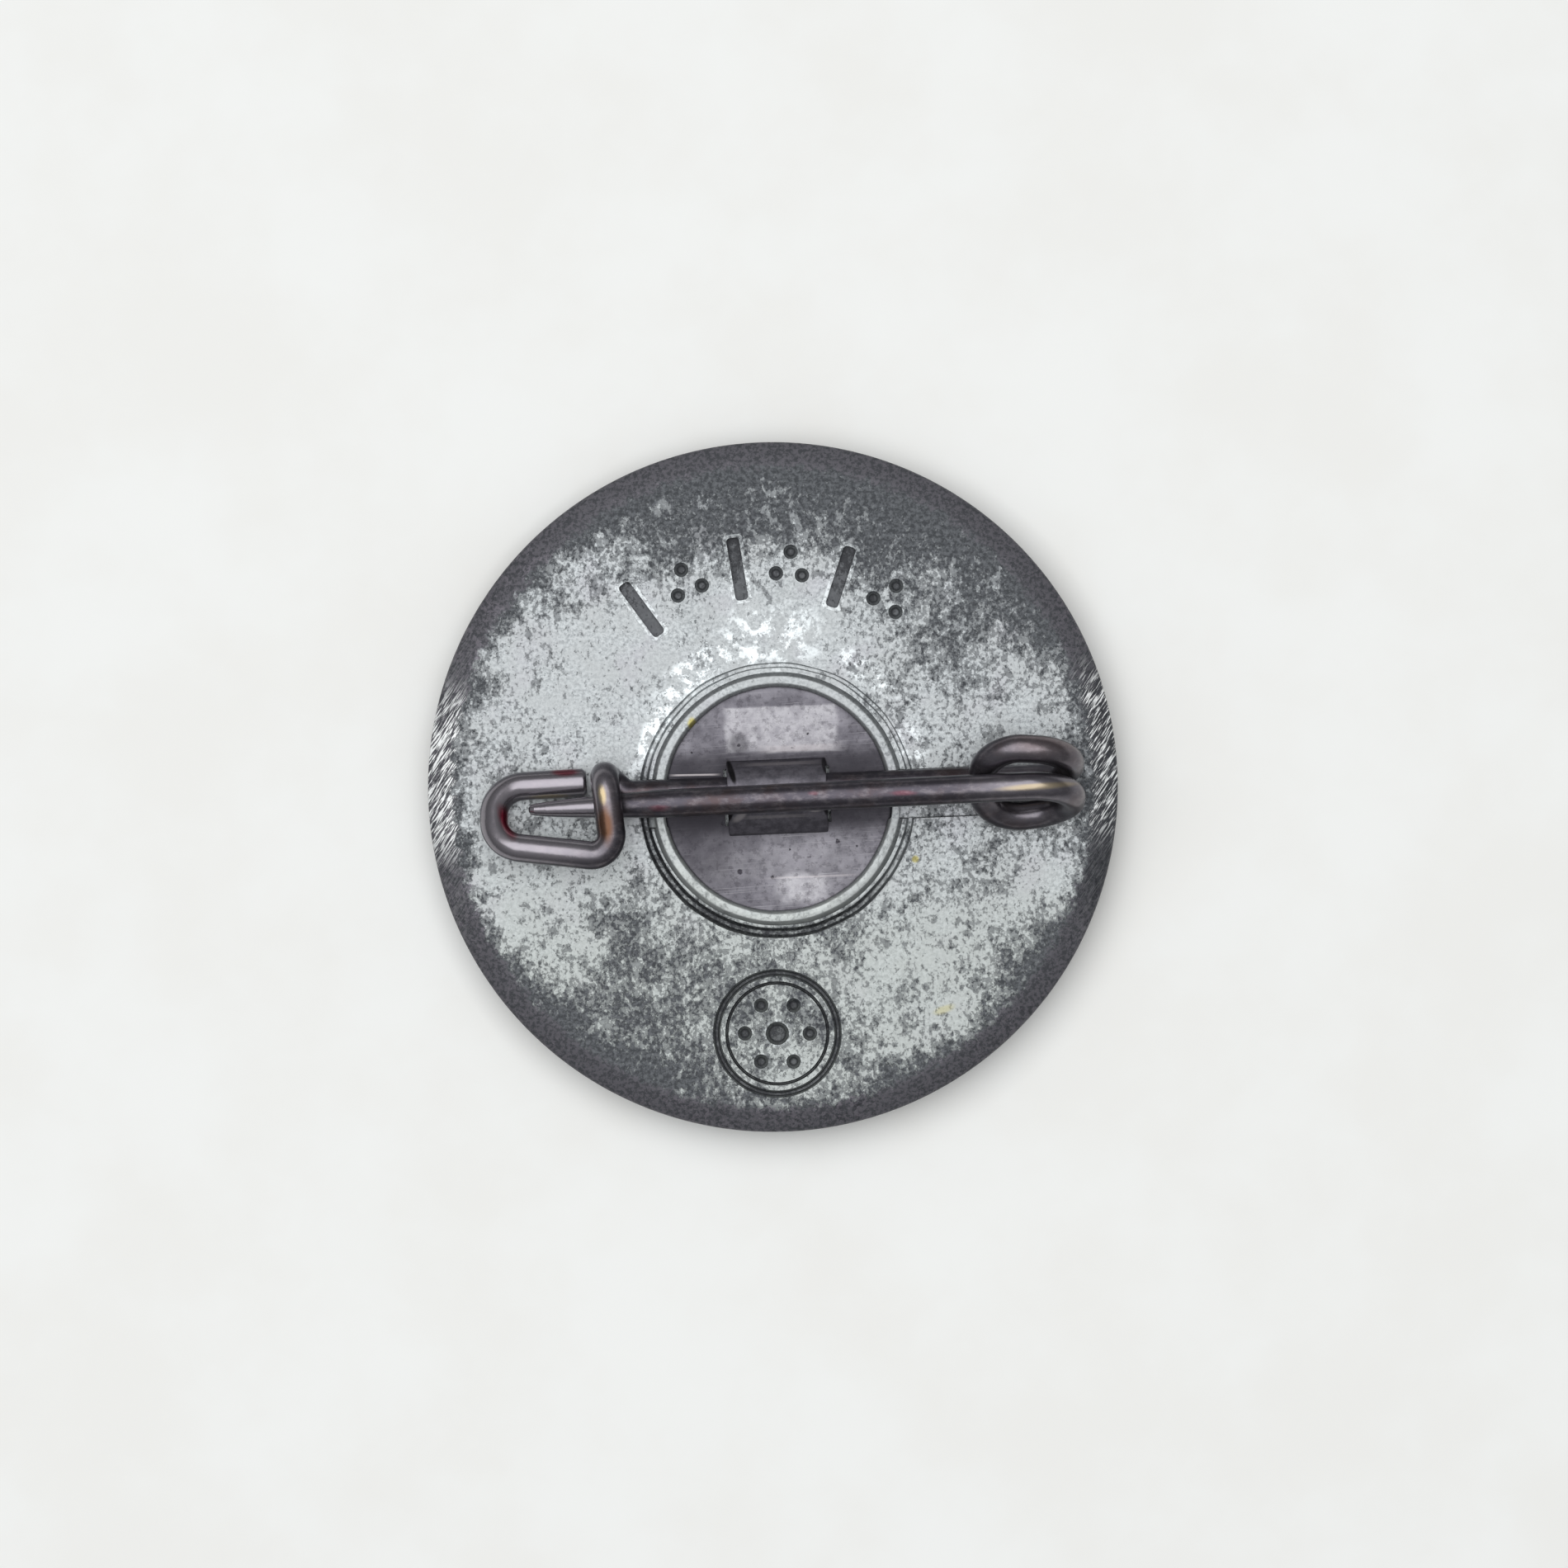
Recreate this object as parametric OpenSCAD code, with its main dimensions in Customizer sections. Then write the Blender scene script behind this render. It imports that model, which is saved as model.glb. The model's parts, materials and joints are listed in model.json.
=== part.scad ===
// Round lapel badge with a one-wire safety catch.
// The badge lies on its lacquered front, on the plane z = 0, with its back up along +Z.
// The struck disc carries a crimped pin plate, and a strap in the plate holds one bent
// wire that is guard, catch hook, base run, coil spring and needle.

/* [Disc] */
// Diameter of the disc
disc_d = 23; // [19:0.5:30]
// Thickness of the disc, from its front border to its back face
disc_t = 2; // [1.6:0.1:3]
// Width of the sloping filed rim round the back
rim_w = 0.75; // [0.4:0.05:1]
// Drop of the filed rim from the back face to the edge
rim_drop = 0.35; // [0.2:0.05:0.5]
// Chamfer round the front edge
front_chamfer = 0.15; // [0.05:0.05:0.3]

/* [Front] */
// Width of the raised border round the front
border_w = 1; // [0.6:0.1:1.6]
// Depth of the lacquer cells below the border
cell_depth = 0.45; // [0.3:0.05:0.6]
// Outer radius of the raised ring between the two lacquer cells
cell_ring_r = 6.8; // [5.8:0.1:7.5]
// Width of the raised ring between the two lacquer cells
cell_ring_w = 0.6; // [0.4:0.1:1]
// Radius of the domed boss in the middle of the front
boss_r = 3.3; // [2:0.1:4.5]
// Depth of the raised ring and the boss below the border
relief_sink = 0.08; // [0.05:0.01:0.2]
// Depth of the lacquer surface below the border
lacquer_sink = 0.16; // [0.1:0.02:0.25]
// Number of small beads round the raised ring
bead_count = 40; // [24:1:48]
// Radius of each small bead
bead_r = 0.22; // [0.15:0.01:0.25]

/* [Pin plate] */
// Offset of the plate from the middle of the disc, to the right
plate_x = 0.15; // [-0.5:0.05:0.5]
// Offset of the plate from the middle of the disc, upwards
plate_y = -0.4; // [-0.6:0.05:0.6]
// Diameter of the pin plate
plate_d = 7.7; // [6.4:0.1:9.3]
// Thickness of the pin plate's sheet
plate_t = 0.4; // [0.3:0.05:0.5]
// Depth of the plate's face below the back of the disc
plate_sink = 0.05; // [0.03:0.01:0.1]
// Width of the bezel lip that holds the plate
lip_w = 0.5; // [0.35:0.05:0.7]
// Reach of the lip over the edge of the plate
lip_reach = 0.13; // [0.08:0.01:0.2]
// Height of the lip above the back of the disc
lip_h = 0.16; // [0.1:0.02:0.3]
// Width of the shallow groove round the lip
groove_w = 0.3; // [0.2:0.05:0.5]
// Length of the strap, along the wire
strap_l = 3.3; // [2:0.1:4]
// Reach of the strap's foot on the catch's open side of the wire
strap_near = 1.51; // [1.4:0.05:2]
// Reach of the strap's foot on the other side of the wire
strap_far = 0.98; // [0.95:0.01:1.6]
// Thickness of the strap's sheet
strap_t = 0.25; // [0.15:0.05:0.3]

/* [Wire] */
// Diameter of the wire
wire_d = 0.9; // [0.75:0.05:1.1]
// Angle of the whole wire and plate in the disc
wire_turn = 2.3; // [-5:0.1:5]
// Offset of the wire from the middle of the plate
wire_off = 0.34; // [0:0.02:0.5]
// Distance from the edge of the disc to the middle of the coil
coil_inset = 3.1; // [2.5:0.1:4]
// Length of the coil's loop along the wire, between centre lines
coil_w = 2.9; // [2.4:0.1:3.5]
// Height of the coil's loop, between centre lines, in wire diameters
coil_h = 3; // [2.7:0.1:3.4]
// Gap between neighbouring turns of the coil
coil_gap = 0.32; // [0.2:0.02:0.5]
// Shift of the needle from the base wire, towards the catch's open side
needle_shift = 0.23; // [0:0.01:0.4]
// Height of the needle's point above the top of the base wire
tip_lift = 0.12; // [0.05:0.01:0.4]

/* [Catch] */
// Distance from the edge of the disc to the end of the guard
guard_inset = 2.26; // [1.6:0.05:3]
// Length of the guard, from its end to the hook
guard_l = 3.95; // [3.4:0.05:4.6]
// Width of the guard, between centre lines
guard_w = 1.9; // [1.55:0.05:2.3]
// Distance from the end of the guard to the needle's point
tip_inset = 1.15; // [0.9:0.05:1.4]
// Distance from the hook to the cut end of the wire
cut_gap = 0.88; // [0.6:0.02:1.2]

/* [Clearances] */
// Gap between the wire and the back of the disc
wire_gap = 0.03; // [0.02:0.01:0.06]
// Gap between the wire and the strap
strap_gap = 0.03; // [0.02:0.01:0.06]
// Gap between the plate and its pocket
plate_gap = 0.03; // [0.02:0.01:0.06]
// Gap between the needle and the hook over it
catch_gap = 0.07; // [0.05:0.01:0.1]
// Gap round the ball at the root of the needle
ball_gap = 0.05; // [0.05:0.01:0.1]
// Gap where the rolling needle root meets the coil
roll_gap = 0.02; // [0.01:0.01:0.05]

/* [Hidden] */
$fn = 64;
disc_r = disc_d / 2;
plate_r = plate_d / 2;
wire_r = wire_d / 2;
bite = 0.5; // how far cutting shapes run past the faces they cut

// front relief
border_r = disc_r - border_w;
cell_ring_in = cell_ring_r - cell_ring_w;
boss_h = cell_depth - relief_sink;
boss_ball = (boss_r * boss_r + boss_h * boss_h) / (2 * boss_h);

// pocket, lip and groove, as heights from the back of the disc
pocket_r = plate_r + plate_gap;
pocket_deep = plate_sink + plate_t + plate_gap;
lip_in = plate_r - lip_reach;
lip_out = lip_in + lip_w;
lip_soft = 0.1; // width of the lip's sloping shoulders
groove_in = lip_out + 0.1;
groove_out = groove_in + groove_w;
groove_deep = 0.12;

// the groove under the wire
channel_w = 1.65;
channel_deep = 0.12;
channel_left = 0.12; // how far the groove runs out past the lip
channel_right = 0.3; // how far the groove stops short of the coil's middle

// punched marks on the back
punch_deep = 0.16;
punch_w = 0.28;
punch_row_r = disc_r - 4.15;
punch_row_start = 58.5;
punch_row_step = 13.6;
bar_l = 1.95;
pip_r = 0.24;
pip_spread = 0.5;
seal_x = 0.15;
seal_y = 3.3 - disc_r;
seal_r = 2.02;
seal_pips = 6;
seal_pip_ring = 1.08;

// the wire's route, in the plate's frame: along the wire, across it, above the back
base_h = wire_r + wire_gap;
coil_x = disc_r - plate_x - coil_inset;
coil_pitch = wire_d + coil_gap;
coil_sway = 0.12;
coil_rise = coil_h * wire_d;
coil_bend = 0.49 * min(coil_w, coil_rise);
coil_left = coil_x - coil_w / 2;
coil_right = coil_x + coil_w / 2;
needle_y = wire_off - needle_shift;
top_h = base_h + coil_rise;
needle_rise = wire_d - 0.65; // extra height of the needle's bend over the first turn
guard_x = guard_inset - disc_r - plate_x;
hook_x = guard_x + guard_l;
tip = [guard_x + tip_inset, -0.03, base_h + wire_r + tip_lift];
needle_bend = [coil_right, needle_y, top_h + needle_rise];

// needle radii by distance from the point
taper = [[0, 0.13], [0.6, 0.44], [2.3, 0.76], [4.5, 1]];
function taper_at(d, i = 0) = d >= taper[3][0] ? wire_r : d < taper[i + 1][0]
    ? wire_r * (taper[i][1] + (taper[i + 1][1] - taper[i][1]) * (d - taper[i][0])
        / (taper[i + 1][0] - taper[i][0]))
    : taper_at(d, i + 1);

// hook over the needle, and guard beyond its point
function needle_height(x) = tip[2] + (needle_bend[2] - tip[2]) * (x - tip[0]) / (needle_bend[0] - tip[0]);
hook_top_x = hook_x - 0.24;
strand_h = needle_height(hook_x) + taper_at(hook_x - tip[0]) + wire_r + catch_gap;
riser_y = needle_y + taper_at(hook_x - tip[0]) + wire_r + catch_gap;
guard_y = -0.2;
cut_end = [hook_x - cut_gap, guard_y + guard_w / 2 + 0.06, base_h];
guard_top = [guard_x, guard_y + guard_w / 2, base_h + 0.12];
guard_low = [guard_x - 0.03, guard_y - guard_w / 2, strand_h - 0.75];
hook_corner = [hook_x, guard_low[1] - 0.57, strand_h - 0.06];
hook_top = [hook_top_x, riser_y, strand_h + 0.02];
riser_foot = [hook_top_x, riser_y, base_h];
base_left = [hook_x + 0.4, wire_off, base_h];

// the coil's corners, round one and a half turns
coil_path = [
    [coil_right, wire_off, base_h],
    [coil_right, needle_y + coil_pitch - coil_sway, top_h],
    [coil_left, needle_y + coil_pitch + coil_sway, top_h - 0.1],
    [coil_left, wire_off - coil_pitch - coil_sway, base_h],
    [coil_right, wire_off - coil_pitch + coil_sway, base_h],
    needle_bend
];

// bend radii along the wire's centre line
guard_bend = 0.56 * guard_w;
hook_bend = 0.68;
foot_bend = 0.55;
jog_bend = 0.7;
bend_step = 9; // angle between the rings round a bend
wire_sides = 20;

function unit(v) = v / norm(v);
function turn(a, b, c) = acos(unit(b - a) * unit(c - b));
function setback(a, b, c, r) = r * tan(turn(a, b, c) / 2);
function before(a, b, c, r) = b - unit(b - a) * setback(a, b, c, r);
function after(a, b, c, r) = b + unit(c - b) * setback(a, b, c, r);

// centre line of a bend round the corner b: places along it, each with its heading
function bend_line(a, b, c, r) =
    let (
        way = unit(b - a),
        inward = unit(unit(c - b) - way * (unit(c - b) * way)),
        steps = ceil(turn(a, b, c) / bend_step)
    )
    [
        for (i = [0 : steps])
            let (t = turn(a, b, c) * i / steps)
            [before(a, b, c, r) + r * (inward * (1 - cos(t)) + way * sin(t)), way * cos(t) + inward * sin(t)]
    ];

// centre line along a list of corners, with one bend radius for each inner corner
function wire_line(path, bends) =
    let (
        last = len(path) - 1,
        line = [
            [path[0], unit(path[1] - path[0])],
            for (i = [1 : last - 1]) each bend_line(path[i - 1], path[i], path[i + 1], bends[i - 1]),
            [path[last], unit(path[last] - path[last - 1])]
        ]
    )
    [for (i = [0 : len(line) - 1]) if (i == 0 || norm(line[i][0] - line[i - 1][0]) > 0.004) line[i]];

// a direction square to the wire, carried along its centre line without twist
function sides(line, i, side) = i == len(line) ? [] :
    let (way = line[i][1], turned = unit(side - way * (side * way)))
    concat([turned], sides(line, i + 1, turned));

// where one stretch of the wire hands over to the next
guard_end = before(guard_low, hook_corner, hook_top, hook_bend);
hook_end = after(riser_foot, base_left, coil_path[0], jog_bend);
base_end = before(base_left, coil_path[0], coil_path[1], coil_bend);
coil_end = after(coil_path[4], needle_bend, tip, coil_bend);
needle_way = unit(tip - needle_bend);
root_l = 0.8; // length of the stub between the coil and the needle's ball
ball = coil_end + needle_way * root_l;
needle_l = norm(tip - ball);

// steel of the wire, zinc of the disc
zinc = [0.62, 0.64, 0.66];
steel = [0.33, 0.3, 0.32];
plate_metal = [0.45, 0.44, 0.47];
crimson = [0.5, 0.03, 0.07];

// stands its children in the plate's frame, on the back of the disc
module on_plate() {
    translate([plate_x, plate_y, disc_t]) rotate([0, 0, wire_turn]) children();
}

// lays local +Z along a direction
module along(way) {
    rotate([0, acos(way[2] / norm(way)), atan2(way[1], way[0])]) children();
}

// straight stretch of wire
module rod(from, to) {
    translate(from) along(to - from) cylinder(h = norm(to - from), r = wire_r);
}

// solid wire along a centre line, its first ring drawn in by the cutter's chamfer
module drawn_wire(line, chamfer = 0) {
    aside = sides(line, 0, unit(cross(line[0][1], [0.3, 0.2, 0.9])));
    last = len(line) - 1;
    polyhedron(
        points = [
            for (i = [0 : last], j = [0 : wire_sides - 1])
                let (a = j * 360 / wire_sides, r = i == 0 ? wire_r - chamfer : wire_r)
                line[i][0] + r * (aside[i] * cos(a) + cross(line[i][1], aside[i]) * sin(a))
        ],
        faces = [
            [for (j = [0 : wire_sides - 1]) j],
            for (i = [0 : last - 1], j = [0 : wire_sides - 1])
                let (near = i * wire_sides, next = (j + 1) % wire_sides)
                [near + j, near + wire_sides + j, near + wire_sides + next, near + next],
            [for (j = [wire_sides - 1 : -1 : 0]) last * wire_sides + j]
        ],
        convexity = 6
    );
}

// flat ring of square section
module ring(r_out, r_in, h) {
    difference() {
        cylinder(h = h, r = r_out);
        translate([0, 0, -bite]) cylinder(h = h + 2 * bite, r = r_in);
    }
}

// the disc before its back is worked: border, cells, raised ring and filed rim
module disc_blank() {
    rotate_extrude() polygon([
        [0, cell_depth], [cell_ring_in, cell_depth], [cell_ring_in, relief_sink],
        [cell_ring_r, relief_sink], [cell_ring_r, cell_depth], [border_r, cell_depth],
        [border_r, 0], [disc_r - front_chamfer, 0], [disc_r, front_chamfer],
        [disc_r, disc_t - rim_drop], [disc_r - rim_w, disc_t], [0, disc_t]
    ]);
}

// shallow dome in the middle of the front
module boss() {
    intersection() {
        translate([0, 0, relief_sink + boss_ball]) sphere(r = boss_ball);
        translate([0, 0, relief_sink - bite]) cylinder(h = boss_h + 2 * bite, r = boss_r);
    }
}

// small beads along the middle of the raised ring
module beads() {
    for (i = [0 : bead_count - 1])
        rotate([0, 0, i * 360 / bead_count])
            translate([cell_ring_r - cell_ring_w / 2, 0, bead_r + 0.01]) sphere(r = bead_r, $fn = 24);
}

// the lip that is swaged over the edge of the plate
module bezel_lip() {
    under = plate_gap - plate_sink;
    rotate_extrude() polygon([
        [pocket_r, -pocket_deep / 2], [pocket_r, under], [lip_in, under], [lip_in, lip_h / 2],
        [lip_in + lip_soft, lip_h], [lip_out - lip_soft, lip_h], [lip_out, 0],
        [lip_out, -pocket_deep / 2]
    ]);
}

// groove struck round the lip
module ring_groove() {
    rotate_extrude() polygon([
        [groove_in, bite], [groove_in, 0], [groove_in + 0.08, -groove_deep],
        [groove_out - 0.08, -groove_deep], [groove_out, 0], [groove_out, bite]
    ]);
}

// shallow groove that clears the wire, from the hook to the coil
module wire_channel() {
    left = -lip_out - channel_left;
    translate([left, -channel_w / 2, -channel_deep])
        cube([coil_x - channel_right - left, channel_w, channel_deep + bite]);
}

// one straight punch mark, along local Y
module bar_mark() {
    translate([-punch_w / 2, -bar_l / 2, -punch_deep]) cube([punch_w, bar_l, punch_deep + bite]);
}

// three punched pips in a triangle
module pip_marks() {
    for (i = [0 : 2])
        rotate([0, 0, 90 + i * 120]) translate([pip_spread, 0, -punch_deep])
            cylinder(h = punch_deep + bite, r = pip_r, $fn = 24);
}

// plain seal: one ring groove round a rosette of pips
module seal_marks() {
    translate([0, 0, -punch_deep]) ring(seal_r + punch_w / 2, seal_r - punch_w / 2, punch_deep + bite);
    for (i = [0 : seal_pips - 1])
        rotate([0, 0, i * 360 / seal_pips]) translate([seal_pip_ring, 0, -punch_deep])
            cylinder(h = punch_deep + bite, r = pip_r, $fn = 24);
    translate([0, 0, -punch_deep]) cylinder(h = punch_deep + bite, r = 2 * pip_r, $fn = 24);
}

// every mark punched into the back: a row along an arc, and the seal
module punched_marks() {
    for (i = [0 : 5])
        rotate([0, 0, punch_row_start + i * punch_row_step]) translate([punch_row_r, 0, 0])
            rotate([0, 0, -90]) if (i % 2 == 0) pip_marks(); else bar_mark();
    translate([seal_x, seal_y, 0]) seal_marks();
}

module zinc_disc() {
    color(zinc) difference() {
        union() {
            difference() {
                disc_blank();
                on_plate() translate([0, 0, -pocket_deep]) cylinder(h = pocket_deep + bite, r = pocket_r);
            }
            on_plate() bezel_lip();
            boss();
            beads();
        }
        on_plate() ring_groove();
        on_plate() wire_channel();
        translate([0, 0, disc_t]) punched_marks();
    }
}

// lacquer fills the cells from their floor to just below the border
module outer_lacquer() {
    color(crimson) translate([0, 0, lacquer_sink])
        ring(border_r, cell_ring_r, cell_depth - lacquer_sink);
}

module inner_lacquer() {
    color(crimson) translate([0, 0, lacquer_sink])
        ring(cell_ring_in, boss_r, cell_depth - lacquer_sink);
}

// section of the strap: a sheet pressed over the wire, as a shape round it
// inset shrinks the shape by the sheet's thickness, drop carries the feet down
module strap_section(inset, drop) {
    h = base_h + plate_sink;
    r = wire_r + strap_gap + strap_t - inset;
    outer = wire_r + strap_gap + strap_t;
    near = atan(h / strap_near) + asin(outer / norm([strap_near, h]));
    far = atan(h / strap_far) + asin(outer / norm([strap_far, h]));
    near_foot = -strap_near + inset / sin(near);
    far_foot = strap_far - inset / sin(far);
    translate([0, h]) circle(r = r);
    polygon([
        [near_foot, -drop], [near_foot, 0], [-r * sin(near), h + r * cos(near)],
        [r * sin(far), h + r * cos(far)], [far_foot, 0], [far_foot, -drop]
    ]);
}

// carries a section drawn across the wire along it, for the length l
module across_wire(l) {
    translate([-l / 2, wire_off, -plate_sink]) rotate([90, 0, 90]) linear_extrude(l) children();
}

module pin_plate() {
    slit = 0.12; // width of the cut at each end of the strap
    color(plate_metal) on_plate() difference() {
        union() {
            translate([0, 0, -plate_sink - plate_t]) cylinder(h = plate_t, r = plate_r);
            across_wire(strap_l) strap_section(0, plate_t / 2);
        }
        across_wire(strap_l + 2 * slit) strap_section(strap_t, plate_t + bite);
    }
}

// guard: from the cut end, round the needle's point and up to the hook
module guard_loop() {
    burr = 0.12; // chamfer that the cutter left on the wire's end
    line = wire_line([cut_end, guard_top, guard_low, guard_end], [guard_bend, guard_bend]);
    square = [line[0][0] + burr * line[0][1], line[0][1]];
    color(steel) on_plate()
        drawn_wire([line[0], square, for (i = [1 : len(line) - 1]) line[i]], burr);
}

// hook: over the needle, down to the disc and back to the base wire
module catch_hook() {
    color(steel) on_plate() drawn_wire(wire_line(
        [guard_end, hook_corner, hook_top, riser_foot, base_left, hook_end],
        [hook_bend, hook_bend, foot_bend, jog_bend]
    ));
}

module base_wire() {
    color(steel) on_plate() rod(hook_end, base_end);
}

module spring_coil() {
    color(steel) on_plate() drawn_wire(wire_line(
        [base_end, each coil_path, coil_end],
        [for (corner = coil_path) coil_bend]
    ));
}

// stub that rolls against the end of the coil and cups the needle's ball
module needle_root() {
    color(steel) on_plate() difference() {
        rod(coil_end + needle_way * roll_gap, ball);
        translate(ball) sphere(r = wire_r + ball_gap);
    }
}

// needle: a ball at its root, a straight shank and a long taper to the point
module needle() {
    color(steel) on_plate() translate(ball) along(needle_way) {
        sphere(r = wire_r);
        rotate_extrude() polygon([
            [0, 0], [wire_r, 0],
            for (i = [3 : -1 : 0]) [wire_r * taper[i][1], needle_l - taper[i][0]],
            [0, needle_l]
        ]);
    }
}

zinc_disc();
outer_lacquer();
inner_lacquer();
pin_plate();
guard_loop();
catch_hook();
base_wire();
spring_coil();
needle_root();
needle();
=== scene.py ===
"""Looks of a round struck lapel badge, lying face down with its wire catch up.

Every shape is drawn in millimetres, in the badge's own frame or in the pin plate's, and is laid
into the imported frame, in metres, when it is finished.
"""

import json
import logging
import math
from dataclasses import dataclass, field
from enum import Enum
from typing import Any, Iterable, Optional, Sequence, Union

import bmesh
import bpy
from mathutils import Matrix, Vector, noise


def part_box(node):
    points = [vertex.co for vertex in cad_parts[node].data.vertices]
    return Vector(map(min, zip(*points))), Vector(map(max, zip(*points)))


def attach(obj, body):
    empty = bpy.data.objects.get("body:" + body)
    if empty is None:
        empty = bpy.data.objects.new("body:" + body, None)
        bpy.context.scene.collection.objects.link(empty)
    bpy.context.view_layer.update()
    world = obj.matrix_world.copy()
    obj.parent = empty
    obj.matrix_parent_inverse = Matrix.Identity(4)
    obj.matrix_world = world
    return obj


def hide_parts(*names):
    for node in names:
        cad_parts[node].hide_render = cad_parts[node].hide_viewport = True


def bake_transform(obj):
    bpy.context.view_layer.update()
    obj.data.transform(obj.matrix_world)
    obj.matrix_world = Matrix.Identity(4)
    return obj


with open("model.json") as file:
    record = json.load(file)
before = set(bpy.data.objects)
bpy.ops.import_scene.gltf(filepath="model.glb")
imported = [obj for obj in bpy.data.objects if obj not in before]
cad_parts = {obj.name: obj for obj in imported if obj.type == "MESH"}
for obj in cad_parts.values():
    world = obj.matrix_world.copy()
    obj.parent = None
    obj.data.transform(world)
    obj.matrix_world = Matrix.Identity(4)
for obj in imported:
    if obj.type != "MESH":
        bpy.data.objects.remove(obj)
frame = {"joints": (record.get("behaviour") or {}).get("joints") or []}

MM = 0.001
FULL_TURN = 2 * math.pi
NOISE_SEED = 3
log = logging.getLogger("badge")

Colour = tuple[float, float, float]
Spot = tuple[float, float]
Socket = bpy.types.NodeSocket
Feed = Union[float, Sequence[float], Socket]


class Body(str, Enum):
    """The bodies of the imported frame."""

    BADGE = "badge"
    STUB = "needle_stub"
    NEEDLE = "needle"


class Slot(str, Enum):
    """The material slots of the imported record."""

    ZINC = "zinc"
    LACQUER = "lacquer"
    PLATE = "plate"
    WIRE = "wire"


def tone(red: int, green: int, blue: int) -> Colour:
    """Turns a colour of the screen into a linear one.

    Args:
        red: Red from 0 to 255.
        green: Green from 0 to 255.
        blue: Blue from 0 to 255.

    Returns:
        The three linear values from 0 to 1.
    """
    def linear(level: int) -> float:
        """Straightens one level."""
        share = level / 255
        return share / 12.92 if share <= 0.04045 else ((share + 0.055) / 1.055) ** 2.4
    return linear(red), linear(green), linear(blue)


# ---------------------------------------------------------------------------------------------
# Shapes
# ---------------------------------------------------------------------------------------------


def outline(points: Iterable[Spot], rounded: dict[int, float] | None = None) -> bmesh.types.BMesh:
    """Draws an open outline in the plane of radius and height.

    Args:
        points: Radius and height of each corner.
        rounded: Bevel width of the corners that are rounded, by their index.

    Returns:
        A bmesh that holds the outline's edges.
    """
    drawn = bmesh.new()
    corners = [drawn.verts.new((radius, 0, height)) for radius, height in points]
    for near, far in zip(corners, corners[1:]):
        drawn.edges.new((near, far))
    for index, width in (rounded or {}).items():
        bmesh.ops.bevel(
            drawn, geom=[corners[index]], offset=width, segments=3, profile=0.5,
            affect="VERTICES", material=-1,
        )
    return drawn


def turned(drawn: bmesh.types.BMesh, steps: int) -> bmesh.types.BMesh:
    """Spins an outline once round Z into a closed turned shape.

    Args:
        drawn: The outline, from the axis to the axis or closed on itself.
        steps: Number of steps round the turn.

    Returns:
        The same bmesh, with its doubles merged and its faces pointing outwards.
    """
    bmesh.ops.spin(
        drawn, geom=drawn.verts[:] + drawn.edges[:], cent=(0, 0, 0), axis=(0, 0, 1), dvec=(0, 0, 0),
        angle=FULL_TURN, steps=steps, use_merge=True, use_duplicate=False,
    )
    bmesh.ops.remove_doubles(drawn, verts=drawn.verts, dist=1e-5)
    bmesh.ops.recalc_face_normals(drawn, faces=drawn.faces)
    return drawn


def closed_ring(points: Sequence[Spot], steps: int, soft: float) -> bmesh.types.BMesh:
    """Turns a ring whose section is a closed polygon with softened corners.

    Args:
        points: Radius and height of each corner of the section.
        steps: Number of steps round the ring.
        soft: Width of the rounding at every corner.

    Returns:
        The ring.
    """
    drawn = bmesh.new()
    corners = [drawn.verts.new((radius, 0, height)) for radius, height in points]
    for index, corner in enumerate(corners):
        drawn.edges.new((corner, corners[(index + 1) % len(corners)]))
    if soft:
        bmesh.ops.bevel(
            drawn, geom=drawn.verts[:], offset=soft, segments=2, profile=0.5,
            affect="VERTICES", material=-1,
        )
    return turned(drawn, steps)


def tapered_pit(width: float, depth: float, steps: int = 24) -> bmesh.types.BMesh:
    """Makes the cutter for a round punched pit, wider at its mouth.

    Args:
        width: Radius of the pit on the surface.
        depth: Depth of the pit below the plane z = 0.
        steps: Number of sides.

    Returns:
        The cutter, which also reaches one depth above the surface.
    """
    slope = 0.8 * depth
    mouth = width + 0.3 * slope
    points = [(0, -depth), (width - slope, -depth), (width, 0), (mouth, depth), (0, depth)]
    return turned(outline(points, {1: 0.35 * slope}), steps)


def tapered_bar(length: float, width: float, depth: float) -> bmesh.types.BMesh:
    """Makes the cutter for a straight punched bar along Y, wider at its mouth.

    Args:
        length: Length of the bar on the surface.
        width: Width of the bar on the surface.
        depth: Depth of the bar below the plane z = 0.

    Returns:
        The cutter, which also reaches one depth above the surface.
    """
    bar = bmesh.new()
    bmesh.ops.create_cube(bar, size=1, matrix=Matrix.Diagonal((width, length, 2 * depth, 1)))
    upright = [edge for edge in bar.edges if abs(edge.verts[0].co.z - edge.verts[1].co.z) > depth]
    bmesh.ops.bevel(
        bar, geom=upright, offset=0.46 * width, segments=4, profile=0.5, affect="EDGES", material=-1
    )
    for vertex in bar.verts:
        slope = 0.62 * depth * (-1 if vertex.co.z < 0 else 0.6)
        vertex.co.x += math.copysign(slope, vertex.co.x)
        vertex.co.y += math.copysign(slope, vertex.co.y)
    return bar


def merged(parts: Iterable[bmesh.types.BMesh]) -> bmesh.types.BMesh:
    """Puts separate shapes together in one bmesh and frees them.

    Args:
        parts: The shapes.

    Returns:
        One bmesh that holds them all.
    """
    whole = bmesh.new()
    for part in parts:
        held = bpy.data.meshes.new("held")
        part.to_mesh(held)
        part.free()
        whole.from_mesh(held)
        bpy.data.meshes.remove(held)
    return whole


def spun(degrees: float) -> Matrix:
    """Returns a turn round Z."""
    return Matrix.Rotation(math.radians(degrees), 4, "Z")


def out_along_x(distance: float, height: float = 0.0) -> Matrix:
    """Returns a move along X, and up."""
    return Matrix.Translation((distance, 0, height))


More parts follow.
